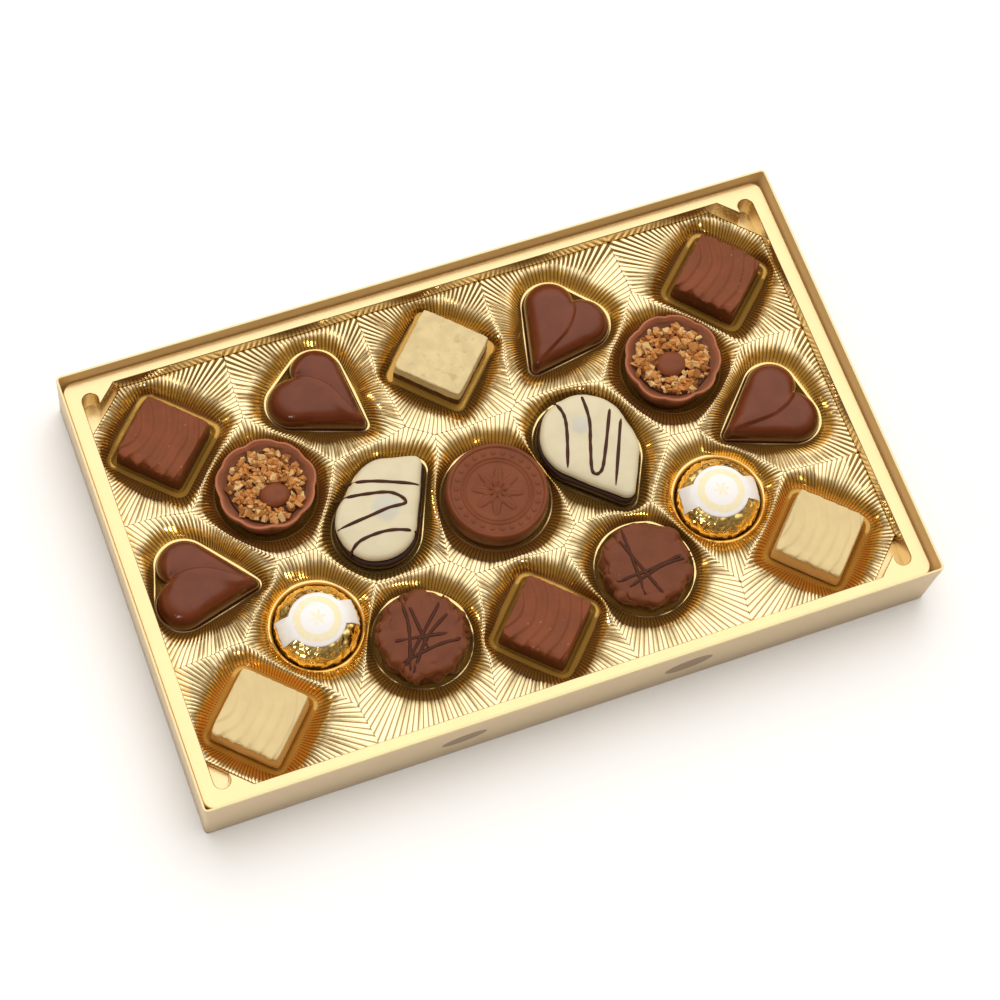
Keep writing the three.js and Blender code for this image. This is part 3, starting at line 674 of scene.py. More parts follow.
class PRALINES_OT_insert(PieceOperator):
    """Make the insert: its flange, and a ribbed funnel round every cup"""

    bl_idname = "pralines.insert"
    bl_label = "Insert"

    EVEN_REACH, EVEN_FADE = 16, 8
    SAMPLES = 260
    PITCH_REACH = 20
    INNER_RINGS = 12
    BORDER, OVERLAP, LEAST_SPAN = 0.4, 0.12, 0.3
    RIB_START, RIB_FULL, BORDER_RIBS = 0.1, 1.1, 0.1
    CREST_DIP, CREST_FADE = 1.5, 2.6
    SKIRT, CORNER_SKIRT = 1.2, 3.6
    SMOOTH_BELOW = 10.7
    GATHER, GATHER_SPAN = 0.9, 20
    RIM_DROP, RIM_ROUND, HOLE_ROUND = 1.6, 0.5, 0.45

    def cell(self, name):
        """A cup's middle and turn, and its levels as outlines round that middle with their heights."""
        kind, circles, x, y, turn = PLACES[name]
        offset = np.mean([circle[:2] for circle in circles], axis=0) * 0.5
        if kind in ("ball", "nut_cup", "square", "layered"):
            offset = np.zeros(2)
        angle = math.radians(turn)
        turned = np.array([[math.cos(angle), -math.sin(angle)], [math.sin(angle), math.cos(angle)]])
        levels = [roped(circles, spread, grow, offset) for spread, grow, _ in CUPS[kind]]
        return {"middle": np.array([x, y]) + turned @ offset, "turn": angle, "levels": levels,
                "lip": levels[-1], "heights": [height for _, _, height in CUPS[kind]]}

    def gauge(self, cell, points):
        """How far points lie beyond a cup: from its lip, and for shares of the field from a circle."""
        away = points - cell["middle"]
        distance = np.hypot(away[..., 0], away[..., 1])
        reach = cell["lip"].at(np.arctan2(away[..., 1], away[..., 0]) - cell["turn"])
        beyond = distance - reach
        fade = np.exp(-np.maximum(beyond, 0) / self.EVEN_FADE)
        return beyond, distance - self.EVEN_REACH - (reach - self.EVEN_REACH) * fade

    def walls(self, middle, direction):
        """Distance along each direction to the walls and chamfers round the field."""
        x, y = middle[0] - TRAY["middle"], middle[1]
        cos, sin = direction[:, 0], direction[:, 1]
        near = np.full(len(cos), np.inf)
        limits = {(1, 0): TRAY["half_length"], (0, 1): TRAY["half_width"], (1, 1): DIAGONAL}
        tiny = 1e-6
        for a, b in ((1, 0), (-1, 0), (0, 1), (0, -1), *QUARTERS):
            speed = a * cos + b * sin
            room = limits[abs(a), abs(b)] - (a * x + b * y)
            near = np.minimum(near, np.where(speed > tiny, room / np.maximum(speed, tiny), np.inf))
        return near

    def border(self, cells, name, angles):
        """How far each direction from a cup goes: its lip, its border, the wall and the next lip."""
        mine = cells[name]
        direction = np.stack([np.cos(angles), np.sin(angles)], 1)
        start = mine["lip"].at(angles - mine["turn"])
        wall = self.walls(mine["middle"], direction)
        steps = np.linspace(0, 1, self.SAMPLES)
        reach = start[:, None] + (wall - start)[:, None] * steps[None, :]
        points = mine["middle"] + direction[:, None, :] * reach[..., None]
        shares = {other: self.gauge(cells[other], points)[1] for other in cells}
        ahead = np.min([shares[other] for other in cells if other != name], axis=0) - shares[name]
        crossed = ahead < 0
        first = np.where(crossed.any(1), crossed.argmax(1), self.SAMPLES - 1)
        rows = np.arange(len(angles))
        before = np.maximum(first - 1, 0)
        high, low = ahead[rows, before], ahead[rows, first]
        part = np.where(crossed.any(1) & (first > 0), high / np.maximum(high - low, 1e-9), 1)
        found = reach[rows, before] + (reach[rows, first] - reach[rows, before]) * np.clip(part, 0, 1)
        edge = mine["middle"] + direction * found[:, None]
        nearest = np.min([self.gauge(cells[other], edge)[0] for other in cells], axis=0)
        return start, found, wall, np.maximum(nearest, 0)

    def funnel(self, bm, cells, name, settings):
        """One cup with its slope and ribs, out to the border of its share."""
        mine = cells[name]
        ribs = round(FULL * self.PITCH_REACH / (settings.rib_pitch / MM))
        angles = spokes(ribs * 2)
        start, found, wall, nearest = self.border(cells, name, angles)
        loops = [ring(angles, level.at(angles - mine["turn"]), height)
                 for level, height in zip(mine["levels"], mine["heights"])]
        span = np.maximum(np.minimum(found + self.OVERLAP, wall) - start, self.LEAST_SPAN)
        rise = settings.funnel / MM
        crest = TRAY["field"] - self.CREST_DIP * np.exp(-nearest / self.CREST_FADE)
        lip = mine["heights"][-1]
        gather = 1 + self.GATHER * np.clip((span - rise) / self.GATHER_SPAN, 0, 1)
        side = np.where(np.arange(len(angles)) % 2, 1.0, -1.0)
        draw = random.Random(name)
        uneven = np.repeat([0.8 + 0.4 * draw.random() for _ in range(ribs)], 2)
        for row in range(1, self.INNER_RINGS + 2):
            inner = row <= self.INNER_RINGS
            out = (span - self.BORDER) * (row / self.INNER_RINGS) ** gather if inner else span
            climb = np.clip(out / np.minimum(rise, span), 0, 1)
            height = lip + (crest - lip) * np.sin(climb * math.pi / 2) ** 1.1
            relief = step_up(out, self.RIB_START, self.RIB_FULL) * settings.rib_depth / MM / 2
            relief *= 1 if inner else self.BORDER_RIBS
            loops.append(ring(angles, start + out, height + side * relief * uneven))
        for loop in loops:
            loop[:, :2] += mine["middle"]
        skirt = loops[-1].copy()
        diagonal = np.abs(skirt[:, 0] - TRAY["middle"]) + np.abs(skirt[:, 1])
        skirt[:, 2] -= np.where(diagonal > DIAGONAL - 0.3, self.CORNER_SKIRT, self.SKIRT)
        loops.append(skirt)
        before = len(bm.verts)
        skin(bm, loops, close=(True, False))
        spoke, groove = bm.verts.layers.int["spoke"], bm.verts.layers.float["groove"]
        bm.verts.ensure_lookup_table()
        for vert in bm.verts[before:]:
            # Marks the groove rays above the lip, where the film paints shade in the grooves.
            vert[groove] = float(vert[spoke] % 2 == 0 and vert.co.z > lip + 0.1)

    def opening(self):
        """The outline of the opening in the flange: a slot and a tooth beside each corner."""
        side, top = TRAY["half_length"], TRAY["half_width"]
        slot, height, tooth = CORNER["slot"], CORNER["slot_height"], CORNER["tooth_tip"]
        tip = side - CORNER["tooth_inset"]
        corner = [(side, height), *arc((side - slot, height), slot, np.radians(np.arange(15, 166, 15))),
                  (tip, height - 0.6), (tip, tooth + 0.3), (tip - (top - tooth), top)]
        return [(a * x + TRAY["middle"], b * y) for a, b in QUARTERS for x, y in corner[::a * b]]

    @staticmethod
    def loop_of(bm, points, z):
        """A closed loop of edges through points."""
        verts = [bm.verts.new((x, y, z)) for x, y in points]
        return [bm.edges.new((a, b)) for a, b in zip(verts, verts[1:] + verts[:1])]

    @staticmethod
    def plain_film(settings):
        """The same film where it is smooth and pale."""
        shader = Shader("plain_gold_film", metallic=1.0)
        cloud = shader.noise(0.08, 3)
        return shader.paint(
            base_color=shader.cloudy(cloud, darker(settings.flange, 0.96), settings.flange),
            roughness=cloud * 0.06 + 0.24, normal=shader.bump(shader.noise(0.5, 2), 0.02))

    def flange(self, material):
        """The smooth flange, its wall down to the field and the floors of the corner pockets."""
        bm = bmesh.new()
        half = np.array([TRAY["length"] / 2, TRAY["width"] / 2]) - TRAY["corner"]
        outer = []
        for quarter, (a, b) in enumerate(QUARTERS):
            turns = quarter * FULL / 4 + np.linspace(0, FULL / 4, 7)
            outer.extend(arc((a * half[0] + TRAY["middle"], b * half[1]), TRAY["corner"], turns))
        rim = self.loop_of(bm, outer, TRAY["flange"])
        hole = self.loop_of(bm, self.opening(), TRAY["flange"])
        bmesh.ops.triangle_fill(bm, edges=rim + hole, use_beauty=True)
        for edges, depth in ((rim, self.RIM_DROP), (hole, TRAY["flange"] - TRAY["pocket"])):
            made = bmesh.ops.extrude_edge_only(bm, edges=edges)["geom"]
            bmesh.ops.translate(bm, vec=(0, 0, -depth), verts=new_verts(made))
        side, top = TRAY["half_length"] + 0.1, TRAY["half_width"] + 0.1
        low = CORNER["chamfer"] - 2
        for a, b in QUARTERS:
            corner = [(side, top), (side, low), (side - top + low, top)]
            floor = self.loop_of(bm, [(a * x + TRAY["middle"], b * y) for x, y in corner], TRAY["pocket"])
            bmesh.ops.edgeloop_fill(bm, edges=floor)
        rounded(bm, rim, self.RIM_ROUND, 4)
        rounded(bm, [edge for edge in hole if edge.is_valid], self.HOLE_ROUND, 4)
        even_shading(piece("insert_flange", bm, material, "gold_film", ["insert"], sheet=TRAY["sheet"]))

    def execute(self, context):
        settings = context.scene.praline_pack
        material = film(settings)
        cells = {name: self.cell(name) for name in PLACES}
        self.flange(self.plain_film(settings))
        middle = np.median([cell["middle"][0] for cell in cells.values()])
        for half in ("left", "right"):
            bm = bmesh.new()
            # Groove marks for the film's painted shade.
            bm.verts.layers.float.new("groove")
            for name, cell in cells.items():
                if (cell["middle"][0] < middle) == (half == "left"):
                    self.funnel(bm, cells, name, settings)
            spoke = bm.verts.layers.int["spoke"]
            for edge in bm.edges:
                a, b = edge.verts
                edge.smooth = a[spoke] != b[spoke] or max(a.co.z, b.co.z) <= self.SMOOTH_BELOW
            piece(f"insert_cups_{half}", bm, material, "gold_film", ["insert"], sheet=TRAY["sheet"])
        return {"FINISHED"}


def block(cuts, low, high, base_half, top_half, sculpt):
    """A square block standing on a corner, made from a subdivided cube and then sculpted.

    Sculpt moves each point: it gets the point, its place across the block from -1 to 1 and its level.
    The bend draws the cuts together towards the edges.
    """
    bm = bmesh.new()
    cube = bmesh.ops.create_cube(bm, size=2)["verts"]
    bmesh.ops.subdivide_edges(bm, edges=edges_at(cube), cuts=cuts, use_grid_fill=True)
    bend = 1.3
    for vert in bm.verts:
        across, along = (math.sin(part * bend) / math.sin(bend) for part in vert.co.xy)
        level = (vert.co.z + 1) / 2
        half = base_half + (top_half - base_half) * level
        corner = 1 - 0.03 * abs(across * along) ** 10
        u, v = across * half * corner, along * half * corner
        spot = Vector(((u - v) / math.sqrt(2), (u + v) / math.sqrt(2), low + (high - low) * level))
        vert.co = sculpt(spot, across, along, level)
    return bm


class PRALINES_OT_ridged_squares(PieceOperator):
    """Make the square pralines with ridges swept across their tops"""

    bl_idname = "pralines.ridged_squares"
    bl_label = "Ridged squares"

    SWEEP_CENTRE = (-14, 11)
    CREST = 0.8
    EDGE_ROUND = 0.3
    FLARE = 0.6

    def execute(self, context):
        settings = context.scene.praline_parts
        milk = chocolate("milk_chocolate", settings.milk, 0.4, seeds=0.16)
        ivory = chocolate("white_chocolate", settings.ivory, 0.42, side=settings.ivory_shaded_side)
        squares = [(f"milk_square_{n}", milk, "milk_chocolate", 1.0, 11.1, n) for n in (1, 2, 3)]
        squares += [(f"ivory_square_{n}", ivory, "ivory_chocolate", 0.65, 11.4, n + 3) for n in (1, 2)]
        for name, material, slot, strength, half, seed in squares:
            bm = self.square(settings, strength, half, seed)
            piece(f"{name}_chocolate", bm, material, slot, [name], place=name)
        return {"FINISHED"}

    def square(self, settings, strength, half, seed):
        """One praline: ridges like overlapping scales that run off its front left side."""
        pitch, depth = settings.ridge_pitch / MM, settings.ridge_depth / MM * strength
        shift = random.Random(seed).random()

        def sculpt(spot, across, along, level):
            wander = lumps(spot.x, spot.y, 0, 9, seed) * 0.9
            away = math.hypot(spot.x - self.SWEEP_CENTRE[0], spot.y - self.SWEEP_CENTRE[1])
            part = (away + wander) / pitch + shift
            part -= math.floor(part)
            fall = (part - self.CREST) / (1 - self.CREST) * math.pi
            scale = (part / self.CREST) ** 1.4 if part < self.CREST else 0.5 + 0.5 * math.cos(fall)
            top = step_up(level, 0.9, 1.0)
            front = step_up(-across, 0.86, 1.0)
            edge = max(abs(across), abs(along))
            rounding = min(1, max(0, (edge - 0.95) / 0.05))
            drop = self.EDGE_ROUND * (1 + front) * (1 - math.sqrt(1 - rounding ** 2))
            spot.z += ((scale - 1) * depth * (1 + front) - drop) * top
            tongue = 0.88 - 0.14 * scale + 0.06 * lumps(spot.x, spot.y, 0, 2.5, seed + 9)
            coat = step_up(level, tongue, tongue + 0.05) * front
            uneven = (scale - 0.4) * 0.7 + lumps(spot.x, spot.y, 0, 3.2, seed) * 0.8
            push = coat * (0.6 + uneven * strength)
            push += 0.12 * lumps(spot.x, spot.y, spot.z, 3.5, seed) * step_up(edge, 0.8, 1)
            spot.x -= push / math.sqrt(2)
            spot.y -= push / math.sqrt(2)
            return spot

        return block(44, SEAT, SQUARE_TOP, half + self.FLARE, half, sculpt)


class PRALINES_OT_layered_square(PieceOperator):
    """Make the flat square praline: a cream layer, rough at its cut edges, on a dark one"""

    bl_idname = "pralines.layered_square"
    bl_label = "Layered square"

    def execute(self, context):
        settings = context.scene.praline_parts
        shader = Shader("cream_layer", specular_ior_level=0.4)
        cloud = shader.noise(0.22, 4)
        smudge = shader.noise(0.33, 5).ramp(0.56, 0.72)
        tone = shader.cloudy(cloud, darker(settings.ivory, 0.9), darker(settings.ivory, 1.06))
        tone = shader.mix(smudge * 0.5, tone, (0.42, 0.30, 0.13))
        cream = shader.paint(base_color=tone, roughness=cloud * 0.15 + 0.4,
                             normal=shader.bump(shader.noise(1.1, 4), 0.12))
        dark = chocolate("dark_layer", darker(settings.milk, 0.62), 0.42)
        layers = (("layered_bottom", 10.2, 13.28, 12.1, 12.1, dark, "dark_chocolate"),
                  ("layered_top", 13.3, SQUARE_TOP, 12.1, 11.9, cream, "ivory_chocolate"))
        for name, low, high, base, top, material, slot in layers:
            sculpt = self.rough_top if name == "layered_top" else self.rough_edges
            bm = block(40, low, high, base, top, sculpt)
            piece(f"{name}_slab", bm, material, slot, [name], place="layered")
        return {"FINISHED"}

    def rough_edges(self, spot, across, along, level):
        """Moves a point so that the block's cut edges are rough."""
        edge = max(abs(across), abs(along))
        rough = lumps(*spot, 2.2, 3) * 0.16 + lumps(*spot, 0.9, 5) * 0.07
        out = 1 + rough * step_up(edge, 0.9, 1) / 11
        spot.x *= out
        spot.y *= out
        return spot

    def rough_top(self, spot, across, along, level):
        """The same, with an uneven top that rounds off at its edge."""
        spot = self.rough_edges(spot, across, along, level)
        edge = max(abs(across), abs(along))
        spot.z += (lumps(spot.x, spot.y, 0, 3, 7) * 0.07 + lumps(spot.x, spot.y, 0, 1, 2) * 0.03
                   - 0.3 * max(0, (edge - 0.96) / 0.04) ** 2) * level
        return spot


class PRALINES_OT_hearts(PieceOperator):
    """Make the moulded hearts, with one lobe folded over the other"""

    bl_idname = "pralines.hearts"
    bl_label = "Hearts"

    PROFILE = [(0.93, SEAT), (0.985, 8.7), (1, 9.6), (0.99, 10.8), (0.96, 12.4), (0.915, 13.9),
               (0.84, 15.2), (0.73, 16.2), (0.58, 16.95), (0.4, 17.45), (0.2, 17.7), (0.02, 17.75)]
    FOLDS = {"heart_1": 2.1, "heart_2": 0.9, "heart_3": 1.0, "heart_4": 2.1}
    WIDEN = 1.06
    # The folded lobe swells before the crease, and the other drops past it
    SWELL_AT, SWELL_WIDTH, SWELL_SHARE, DROP_HALF, DROP_FADE = -2.4, 2.2, 0.25, 0.35, 5
    CREASE = [(0, 13.7), (1.6, 11), (3.1, 7.3), (3.8, 1.7), (2.5, -5), (0.2, -13.8)]

    @staticmethod
    def outline():
        """Two lobes and a rounded tip, joined by straight flanks."""
        lobe, tip = HEART_LOBE, HEART_TIP
        span = math.hypot(lobe["x"], lobe["y"] - tip["y"])
        lean = math.acos((tip["radius"] - lobe["radius"]) / span)
        flank = math.atan2(lobe["y"] - tip["y"], lobe["x"]) - lean
        notch = math.pi - math.acos(lobe["x"] / lobe["radius"])
        right = arc((lobe["x"], lobe["y"]), lobe["radius"], np.linspace(flank, notch, 120))
        low = arc((0, tip["y"]), tip["radius"], np.linspace(-math.pi / 2, flank, 30))
        straight = np.linspace(low[-1], right[0], 80)
        half = np.vstack([low, straight, right])
        return Outline(np.vstack([half, half * (-1, 1)]))

    def execute(self, context):
        settings = context.scene.praline_parts
        material = chocolate("moulded_chocolate", settings.glossy, 0.08)
        outline = self.outline()
        crease = smooth_path(self.CREASE, 12)
        levels = smooth_path(self.PROFILE, 5)
        angles = spokes(200)
        base = outline.at(angles) * self.WIDEN
        soft = np.convolve(np.pad(base, 6, mode="wrap"), np.ones(13) / 13, mode="valid")
        for name, fold in self.FOLDS.items():
            loops = []
            for scale, height in levels:
                inward = step_up(1 - scale, 0.04, 0.5) * step_up(height, 14, 16)
                loop = ring(angles, (base * (1 - inward) + soft * inward) * scale, height)
                past = loop[:, 0] - np.interp(loop[:, 1], crease[::-1, 1], crease[::-1, 0])
                ends = step_up(loop[:, 1], self.CREASE[-1][1], -9) * step_up(loop[:, 1], 13.9, 11.5)
                drop = step_up(past, -self.DROP_HALF, self.DROP_HALF)
                drop *= np.exp(-np.maximum(past, 0) / self.DROP_FADE)
                swell = np.exp(-(((past - self.SWELL_AT) / self.SWELL_WIDTH) ** 2)) * self.SWELL_SHARE
                loop[:, 2] += fold * (swell - drop) * ends * step_up(height, 11, 16)
                loops.append(loop)
            piece(f"{name}_chocolate", lofted(loops), material, "milk_chocolate", [name], place=name)
        return {"FINISHED"}


class PRALINES_OT_nut_cups(PieceOperator):
    """Make the scalloped cups with their chopped nuts and beads"""

    bl_idname = "pralines.nut_cups"
    bl_label = "Nut cups"

    PROFILE = [(-4.7, 2), (-3.6, 3.4), (-0.6, 14), (-0.2, 16.5), (-0.1, 17.15), (-0.4, 17.45),
               (-0.85, 17.3), (-1.2, 16.7), (-2.1, 15.5), (-3.1, 14.7)]
    BEADS = {"1": ((1.6, -4.2), 4.6, 0.92), "2": ((-1.2, -1.6), 4.7, 1.0)}
    RADIUS, HEAP_RADIUS, HEAP_BASE, CORE_TOP, HEAP_TOP = 16, 12.2, 15.4, 15.7, 17.95
    BEAD_EQUATOR, BEAD_RISE = 16.3, 1.95
    PIECES, POINTS_A_PIECE = 360, 11
    EVEN_TURN = 2.39996

    def execute(self, context):
        settings = context.scene.praline_parts
        # Painted shade: the shell darkens below its rim, inside and out.
        shell = chocolate("cup_chocolate", settings.shell, 0.42, shade_top=16.9, fade=1.6)
        bead = chocolate("bead_chocolate", darker(settings.milk, 0.95), 0.3)
        for number in ("1", "2"):
            self.cup(number, shell)
            self.nuts(number, settings)
            self.bead(number, bead)
        return {"FINISHED"}

    def cup(self, number, material):
        """The shell, with nine shallow lobes and flutes that fade down its side."""
        angles = spokes(180)
        phase = random.Random(30 + int(number)).random() * FULL
        lobes = np.abs(np.cos(4.5 * angles + phase)) - 0.6
        drift = 0.25 * np.cos(2 * angles + phase) + 0.15 * np.cos(5 * angles + 2 * phase)
        loops = []
        for grow, height in smooth_path(self.PROFILE, 4):
            strength = step_up(height, 3, 15) * (0.5 if grow < -2 and height > 14 else 1)
            grain = np.array([lumps(a * 16, height, number == "1", 1.3, 4) for a in angles]) * 0.14
            reach = self.RADIUS + grow + (lobes * 0.75 + drift) * strength + grain
            loops.append(ring(angles, reach, height + grain))
        name = f"nut_cup_{number}"
        piece(f"{name}_shell", lofted(loops), material, "milk_chocolate", [name], place=name)

    def nuts(self, number, settings):
        """Chopped pieces of nut, each the hull of a few points, on a low rough core that is painted nearly
        black as shade between the nuts.
        """
        draw = random.Random(40 + int(number))
        (bead_x, bead_y), bead_radius, _ = self.BEADS[number]
        bm = bmesh.new()
        tone = bm.verts.layers.float.new("tone")
        angles = spokes(48)
        core = [ring(angles, self.HEAP_RADIUS + 0.5, self.HEAP_BASE - 0.5)]
        for reach in (12.4, 10.5, 8, 5, 2, 0.1):
            rough = np.array([lumps(reach * math.cos(a), reach * math.sin(a), 0, 1.6, 9) for a in angles])
            core.append(ring(angles, reach, self.CORE_TOP + 0.35 * rough))
        # The core keeps a tone of 0, so it takes the darkest colour: painted shade between the nuts.
        skin(bm, core)
        for index in range(self.PIECES):
            reach = self.HEAP_RADIUS * math.sqrt((index + 0.5) / self.PIECES)
            angle = index * self.EVEN_TURN + draw.uniform(-0.3, 0.3)
            x, y = reach * math.cos(angle), reach * math.sin(angle)
            size = settings.nut_size / MM / 2 * draw.uniform(0.4, 1.1)
            if math.hypot(x - bead_x, y - bead_y) < bead_radius + size * 0.3:
                continue
            height = self.HEAP_BASE + draw.uniform(0, 1.6) * (1 - 0.4 * (reach / self.HEAP_RADIUS) ** 4)
            self.nut(bm, tone, draw, (x, y, height), size)
        _, _, x, y, _ = PLACES[f"nut_cup_{number}"]
        bmesh.ops.translate(bm, vec=(x, y, 0), verts=bm.verts)
        for vert in bm.verts:
            vert.co.z = min(vert.co.z, self.HEAP_TOP)
        shader = Shader("chopped_nuts_" + number, specular_ior_level=0.2)
        shade = shader.attribute("tone")
        grain = shader.noise(1.6, 4)
        roast = shader.mix(shade.ramp(0.6, 1), settings.nut, (0.72, 0.47, 0.20))
        # Low tones go nearly black: painted shade on the core between the nuts, and a random darker tone on
        # some nuts.
        roast = shader.mix(shade.ramp(0.55, 0.1), roast, (0.07, 0.02, 0.007))
        roast = shader.mix(grain.ramp(0.45, 0.8) * 0.4, roast, (0.26, 0.10, 0.03))
        material = shader.paint(base_color=roast, roughness=grain * 0.2 + 0.45,
                                normal=shader.bump(grain, 0.12))
        name = f"nut_filling_{number}"
        piece(f"{name}_nuts", bm, material, "nuts", [name], smooth=False)

    def nut(self, bm, tone, draw, spot, size):
        """One chopped piece."""
        stretch = Vector([draw.uniform(*span) for span in ((0.8, 1.25), (0.7, 1.0), (0.6, 0.9))])
        turn = Matrix.Rotation(draw.uniform(0, FULL), 3, Vector((draw.random(), draw.random(), 1)))
        made = []
        for _ in range(self.POINTS_A_PIECE):
            way = Vector([draw.gauss(0, 1) for _ in range(3)]).normalized()
            corner = turn @ (way * size * draw.uniform(0.85, 1.1) * stretch)
            made.append(bm.verts.new(corner + Vector(spot)))
        shade = draw.random()
        for vert in made:
            vert[tone] = 0.25 + 0.75 * shade
        hull = bmesh.ops.convex_hull(bm, input=made)
        bmesh.ops.delete(bm, geom=new_verts(hull["geom_interior"]), context="VERTS")

    def bead(self, number, material):
        """The smooth bead in the nuts, with a faint dent."""
        (x, y), radius, squeeze = self.BEADS[number]
        angles = spokes(64)
        loops = []
        for part in np.linspace(-0.85, math.pi / 2 - 0.03, 22):
            reach = radius * math.cos(part) * (1 + 0.03 * np.cos(2 * angles + 0.6))
            loop = ring(angles, reach, self.BEAD_EQUATOR + self.BEAD_RISE * math.sin(part))
            loop[:, 0] *= 1.06
            loop[:, 1] *= squeeze
            dent = np.exp(-(((loop[:, 0] - 1.3) ** 2 + (loop[:, 1] + 0.9) ** 2) / 1.2))
            loop[:, 2] -= dent * 0.3 * step_up(loop[:, 2], 16.5, 17.5)
            loops.append(loop)
        bm = lofted(loops)
        _, _, cup_x, cup_y, _ = PLACES[f"nut_cup_{number}"]
        bmesh.ops.translate(bm, vec=(cup_x + x, cup_y + y, 0), verts=bm.verts)
        name = f"cup_bead_{number}"
        piece(f"{name}_chocolate", bm, material, "milk_chocolate", [name])


class PRALINES_OT_cookies(PieceOperator):
    """Make the drop-shaped pralines: a dark base, white icing and drizzled threads"""

    bl_idname = "pralines.cookies"
    bl_label = "Iced pralines"

    BASE = [(-1.6, SEAT), (-0.4, 8.9), (0, 10.4), (0.05, 12.2), (-0.15, 13.1), (-0.8, 13.5), (-1.8, 13.6)]
    ICING = [(-0.7, 13.9), (0, 14.3), (0.05, 15), (-0.3, 15.8), (-1, 16.35)]
    BASE_SPREAD, ICING_INSET, CROWN = 0.1, 0.5, 17.2
    DOMES = {"1": ((0.4, 1.6), 5.0, 0.55), "2": ((-1.5, 7.2), 3.6, 0.35)}

    def execute(self, context):
        settings = context.scene.praline_parts
        dark = chocolate("dark_chocolate", settings.dark, 0.3)
        threads = chocolate("thread_chocolate", darker(settings.dark, 1.15), 0.3)
        for number, circles, shift in (("1", COOKIE_LEFT, (-0.1, 0.9)), ("2", COOKIE_RIGHT, (0.6, 0.3))):
            angles = spokes(144)
            place, base, icing = (f"cookie_{part}{number}" for part in ("", "base_", "icing_"))
            loops = [ring(angles, roped(circles, 1, grow + self.BASE_SPREAD).at(angles), height)
                     for grow, height in smooth_path(self.BASE, 3)]
            piece(f"{base}_chocolate", lofted(loops), dark, "dark_chocolate", [base], place)
            bm = self.icing(number, circles, shift, angles)
            surface = height_finder(bm, self.ICING[1][1])
            piece(f"{icing}_coating", bm, self.coating(number, settings), "white_icing", [icing], place)
            bm = drizzle(THREADS[place], 1.1, 0.42, surface, run_on=1.1)
            piece(f"cookie_threads_{number}", bm, threads, "dark_chocolate", [icing], place)
        return {"FINISHED"}

    def icing(self, number, circles, shift, angles):
        """The coating, thick and soft at its edge, with a faint dome over the nut."""
        moved = [(x + shift[0], y + shift[1], radius - self.ICING_INSET) for x, y, radius in circles]
        (dome_x, dome_y), dome_radius, dome_height = self.DOMES[number]
        wave = np.array([lumps(6 * math.cos(a), 6 * math.sin(a), 0, 2.2, int(number)) for a in angles])
        levels = [(roped(moved, 1, grow).at(angles) + 0.35 * wave, height)
                  for grow, height in smooth_path(self.ICING, 4)]
        last_reach, last_height = levels[-1]
        levels += [(last_reach * part, self.CROWN - (self.CROWN - last_height) * part ** 6)
                   for part in np.linspace(0.97, 0.01, 24)]
        loops = []
        for reach, height in levels:
            loop = ring(angles, reach, height)
            away = np.hypot(loop[:, 0] - dome_x, loop[:, 1] - dome_y) / dome_radius
            loop[:, 2] += dome_height * np.clip(1 - away ** 2, 0, 1) ** 1.5 * (height > 16.5)
            loops.append(loop)
        return lofted(loops)

    def coating(self, number, settings):
        """White icing, greyer where it is thin over the nut."""
        shader = Shader("icing_" + number, specular_ior_level=0.45)
        _, _, x, y, _ = PLACES[f"cookie_{number}"]
        (dome_x, dome_y), radius, _ = self.DOMES[number]
        across, along = shader.axis("X") - (x + dome_x), shader.axis("Y") - (y + dome_y)
        away = (across * across + along * along).math("SQRT") + shader.noise(0.3, 2) * 2
        thin = away.ramp(radius + 1.6, radius - 0.6)
        cloud = shader.noise(0.15, 3)
        tone = shader.cloudy(cloud, darker(settings.icing, 0.93), settings.icing)
        tone = shader.mix(thin * 0.7, tone, (0.52, 0.50, 0.45))
        return shader.paint(base_color=tone, roughness=cloud * 0.1 + 0.3, normal=shader.bump(cloud, 0.1))


class PRALINES_OT_rough_rounds(PieceOperator):
    """Make the round pralines with nuts under their coat and thin threads across"""

    bl_idname = "pralines.rough_rounds"
    bl_label = "Rough rounds"

    RADIUS, NUT_SPACING = 14.8, 4.2
    PROFILE = [(0.84, SEAT), (0.93, 9), (1, 11), (1.0, 13), (0.985, 14.6), (0.94, 15.9), (0.87, 16.6),
               (0.74, 16.95), (0.55, 17.1), (0.3, 17.15), (0.02, 17.15)]

    def execute(self, context):
        settings = context.scene.praline_parts
        coat = chocolate("nutty_chocolate", darker(settings.milk, 0.78), 0.3, seeds=0.1)
        threads = chocolate("fine_thread_chocolate", darker(settings.dark, 1.3), 0.35)
        for number in ("1", "2"):
            name = f"rough_round_{number}"
            bm = self.body(50 + int(number))
            surface = height_finder(bm, self.PROFILE[4][1])
            piece(f"{name}_coat", bm, coat, "milk_chocolate", [name], name)
            bm = drizzle(THREADS[name], 1.1, 0.2, surface, sides=6, run_on=1.5)
            piece(f"{name}_threads", bm, threads, "dark_chocolate", [name], name)
        return {"FINISHED"}

    def body(self, seed):
        """The body, with bumps the size of chopped nuts down its side."""
        angles = spokes(200)
        loops = []
        for scale, height in smooth_path(self.PROFILE, 5):
            loop = ring(angles, self.RADIUS * scale, height)
            for point in loop:
                spot = Vector(point * (1, 1, 1.2)) / self.NUT_SPACING + Vector((seed, 0, 0))
                near = noise.voronoi(spot)[0]
                wave = lumps(*point, 5, seed)
                bump = math.sqrt(max(0, 1 - min(1, near[0] / 0.66) ** 2)) * (0.75 + wave)
                side = step_up(math.hypot(point[0], point[1]), 7.5, 13.5)
                away = Vector((point[0], point[1], 0)).normalized()
                grow = (bump - 0.4) * 1.35 * side + wave * 0.6 * side
                point[:2] += np.array(away.xy) * grow
                point[2] += ((bump - 0.5) * (0.12 + 0.42 * side) + wave * 0.14) * step_up(height, 9, 15)
            loops.append(loop)
        return lofted(loops)


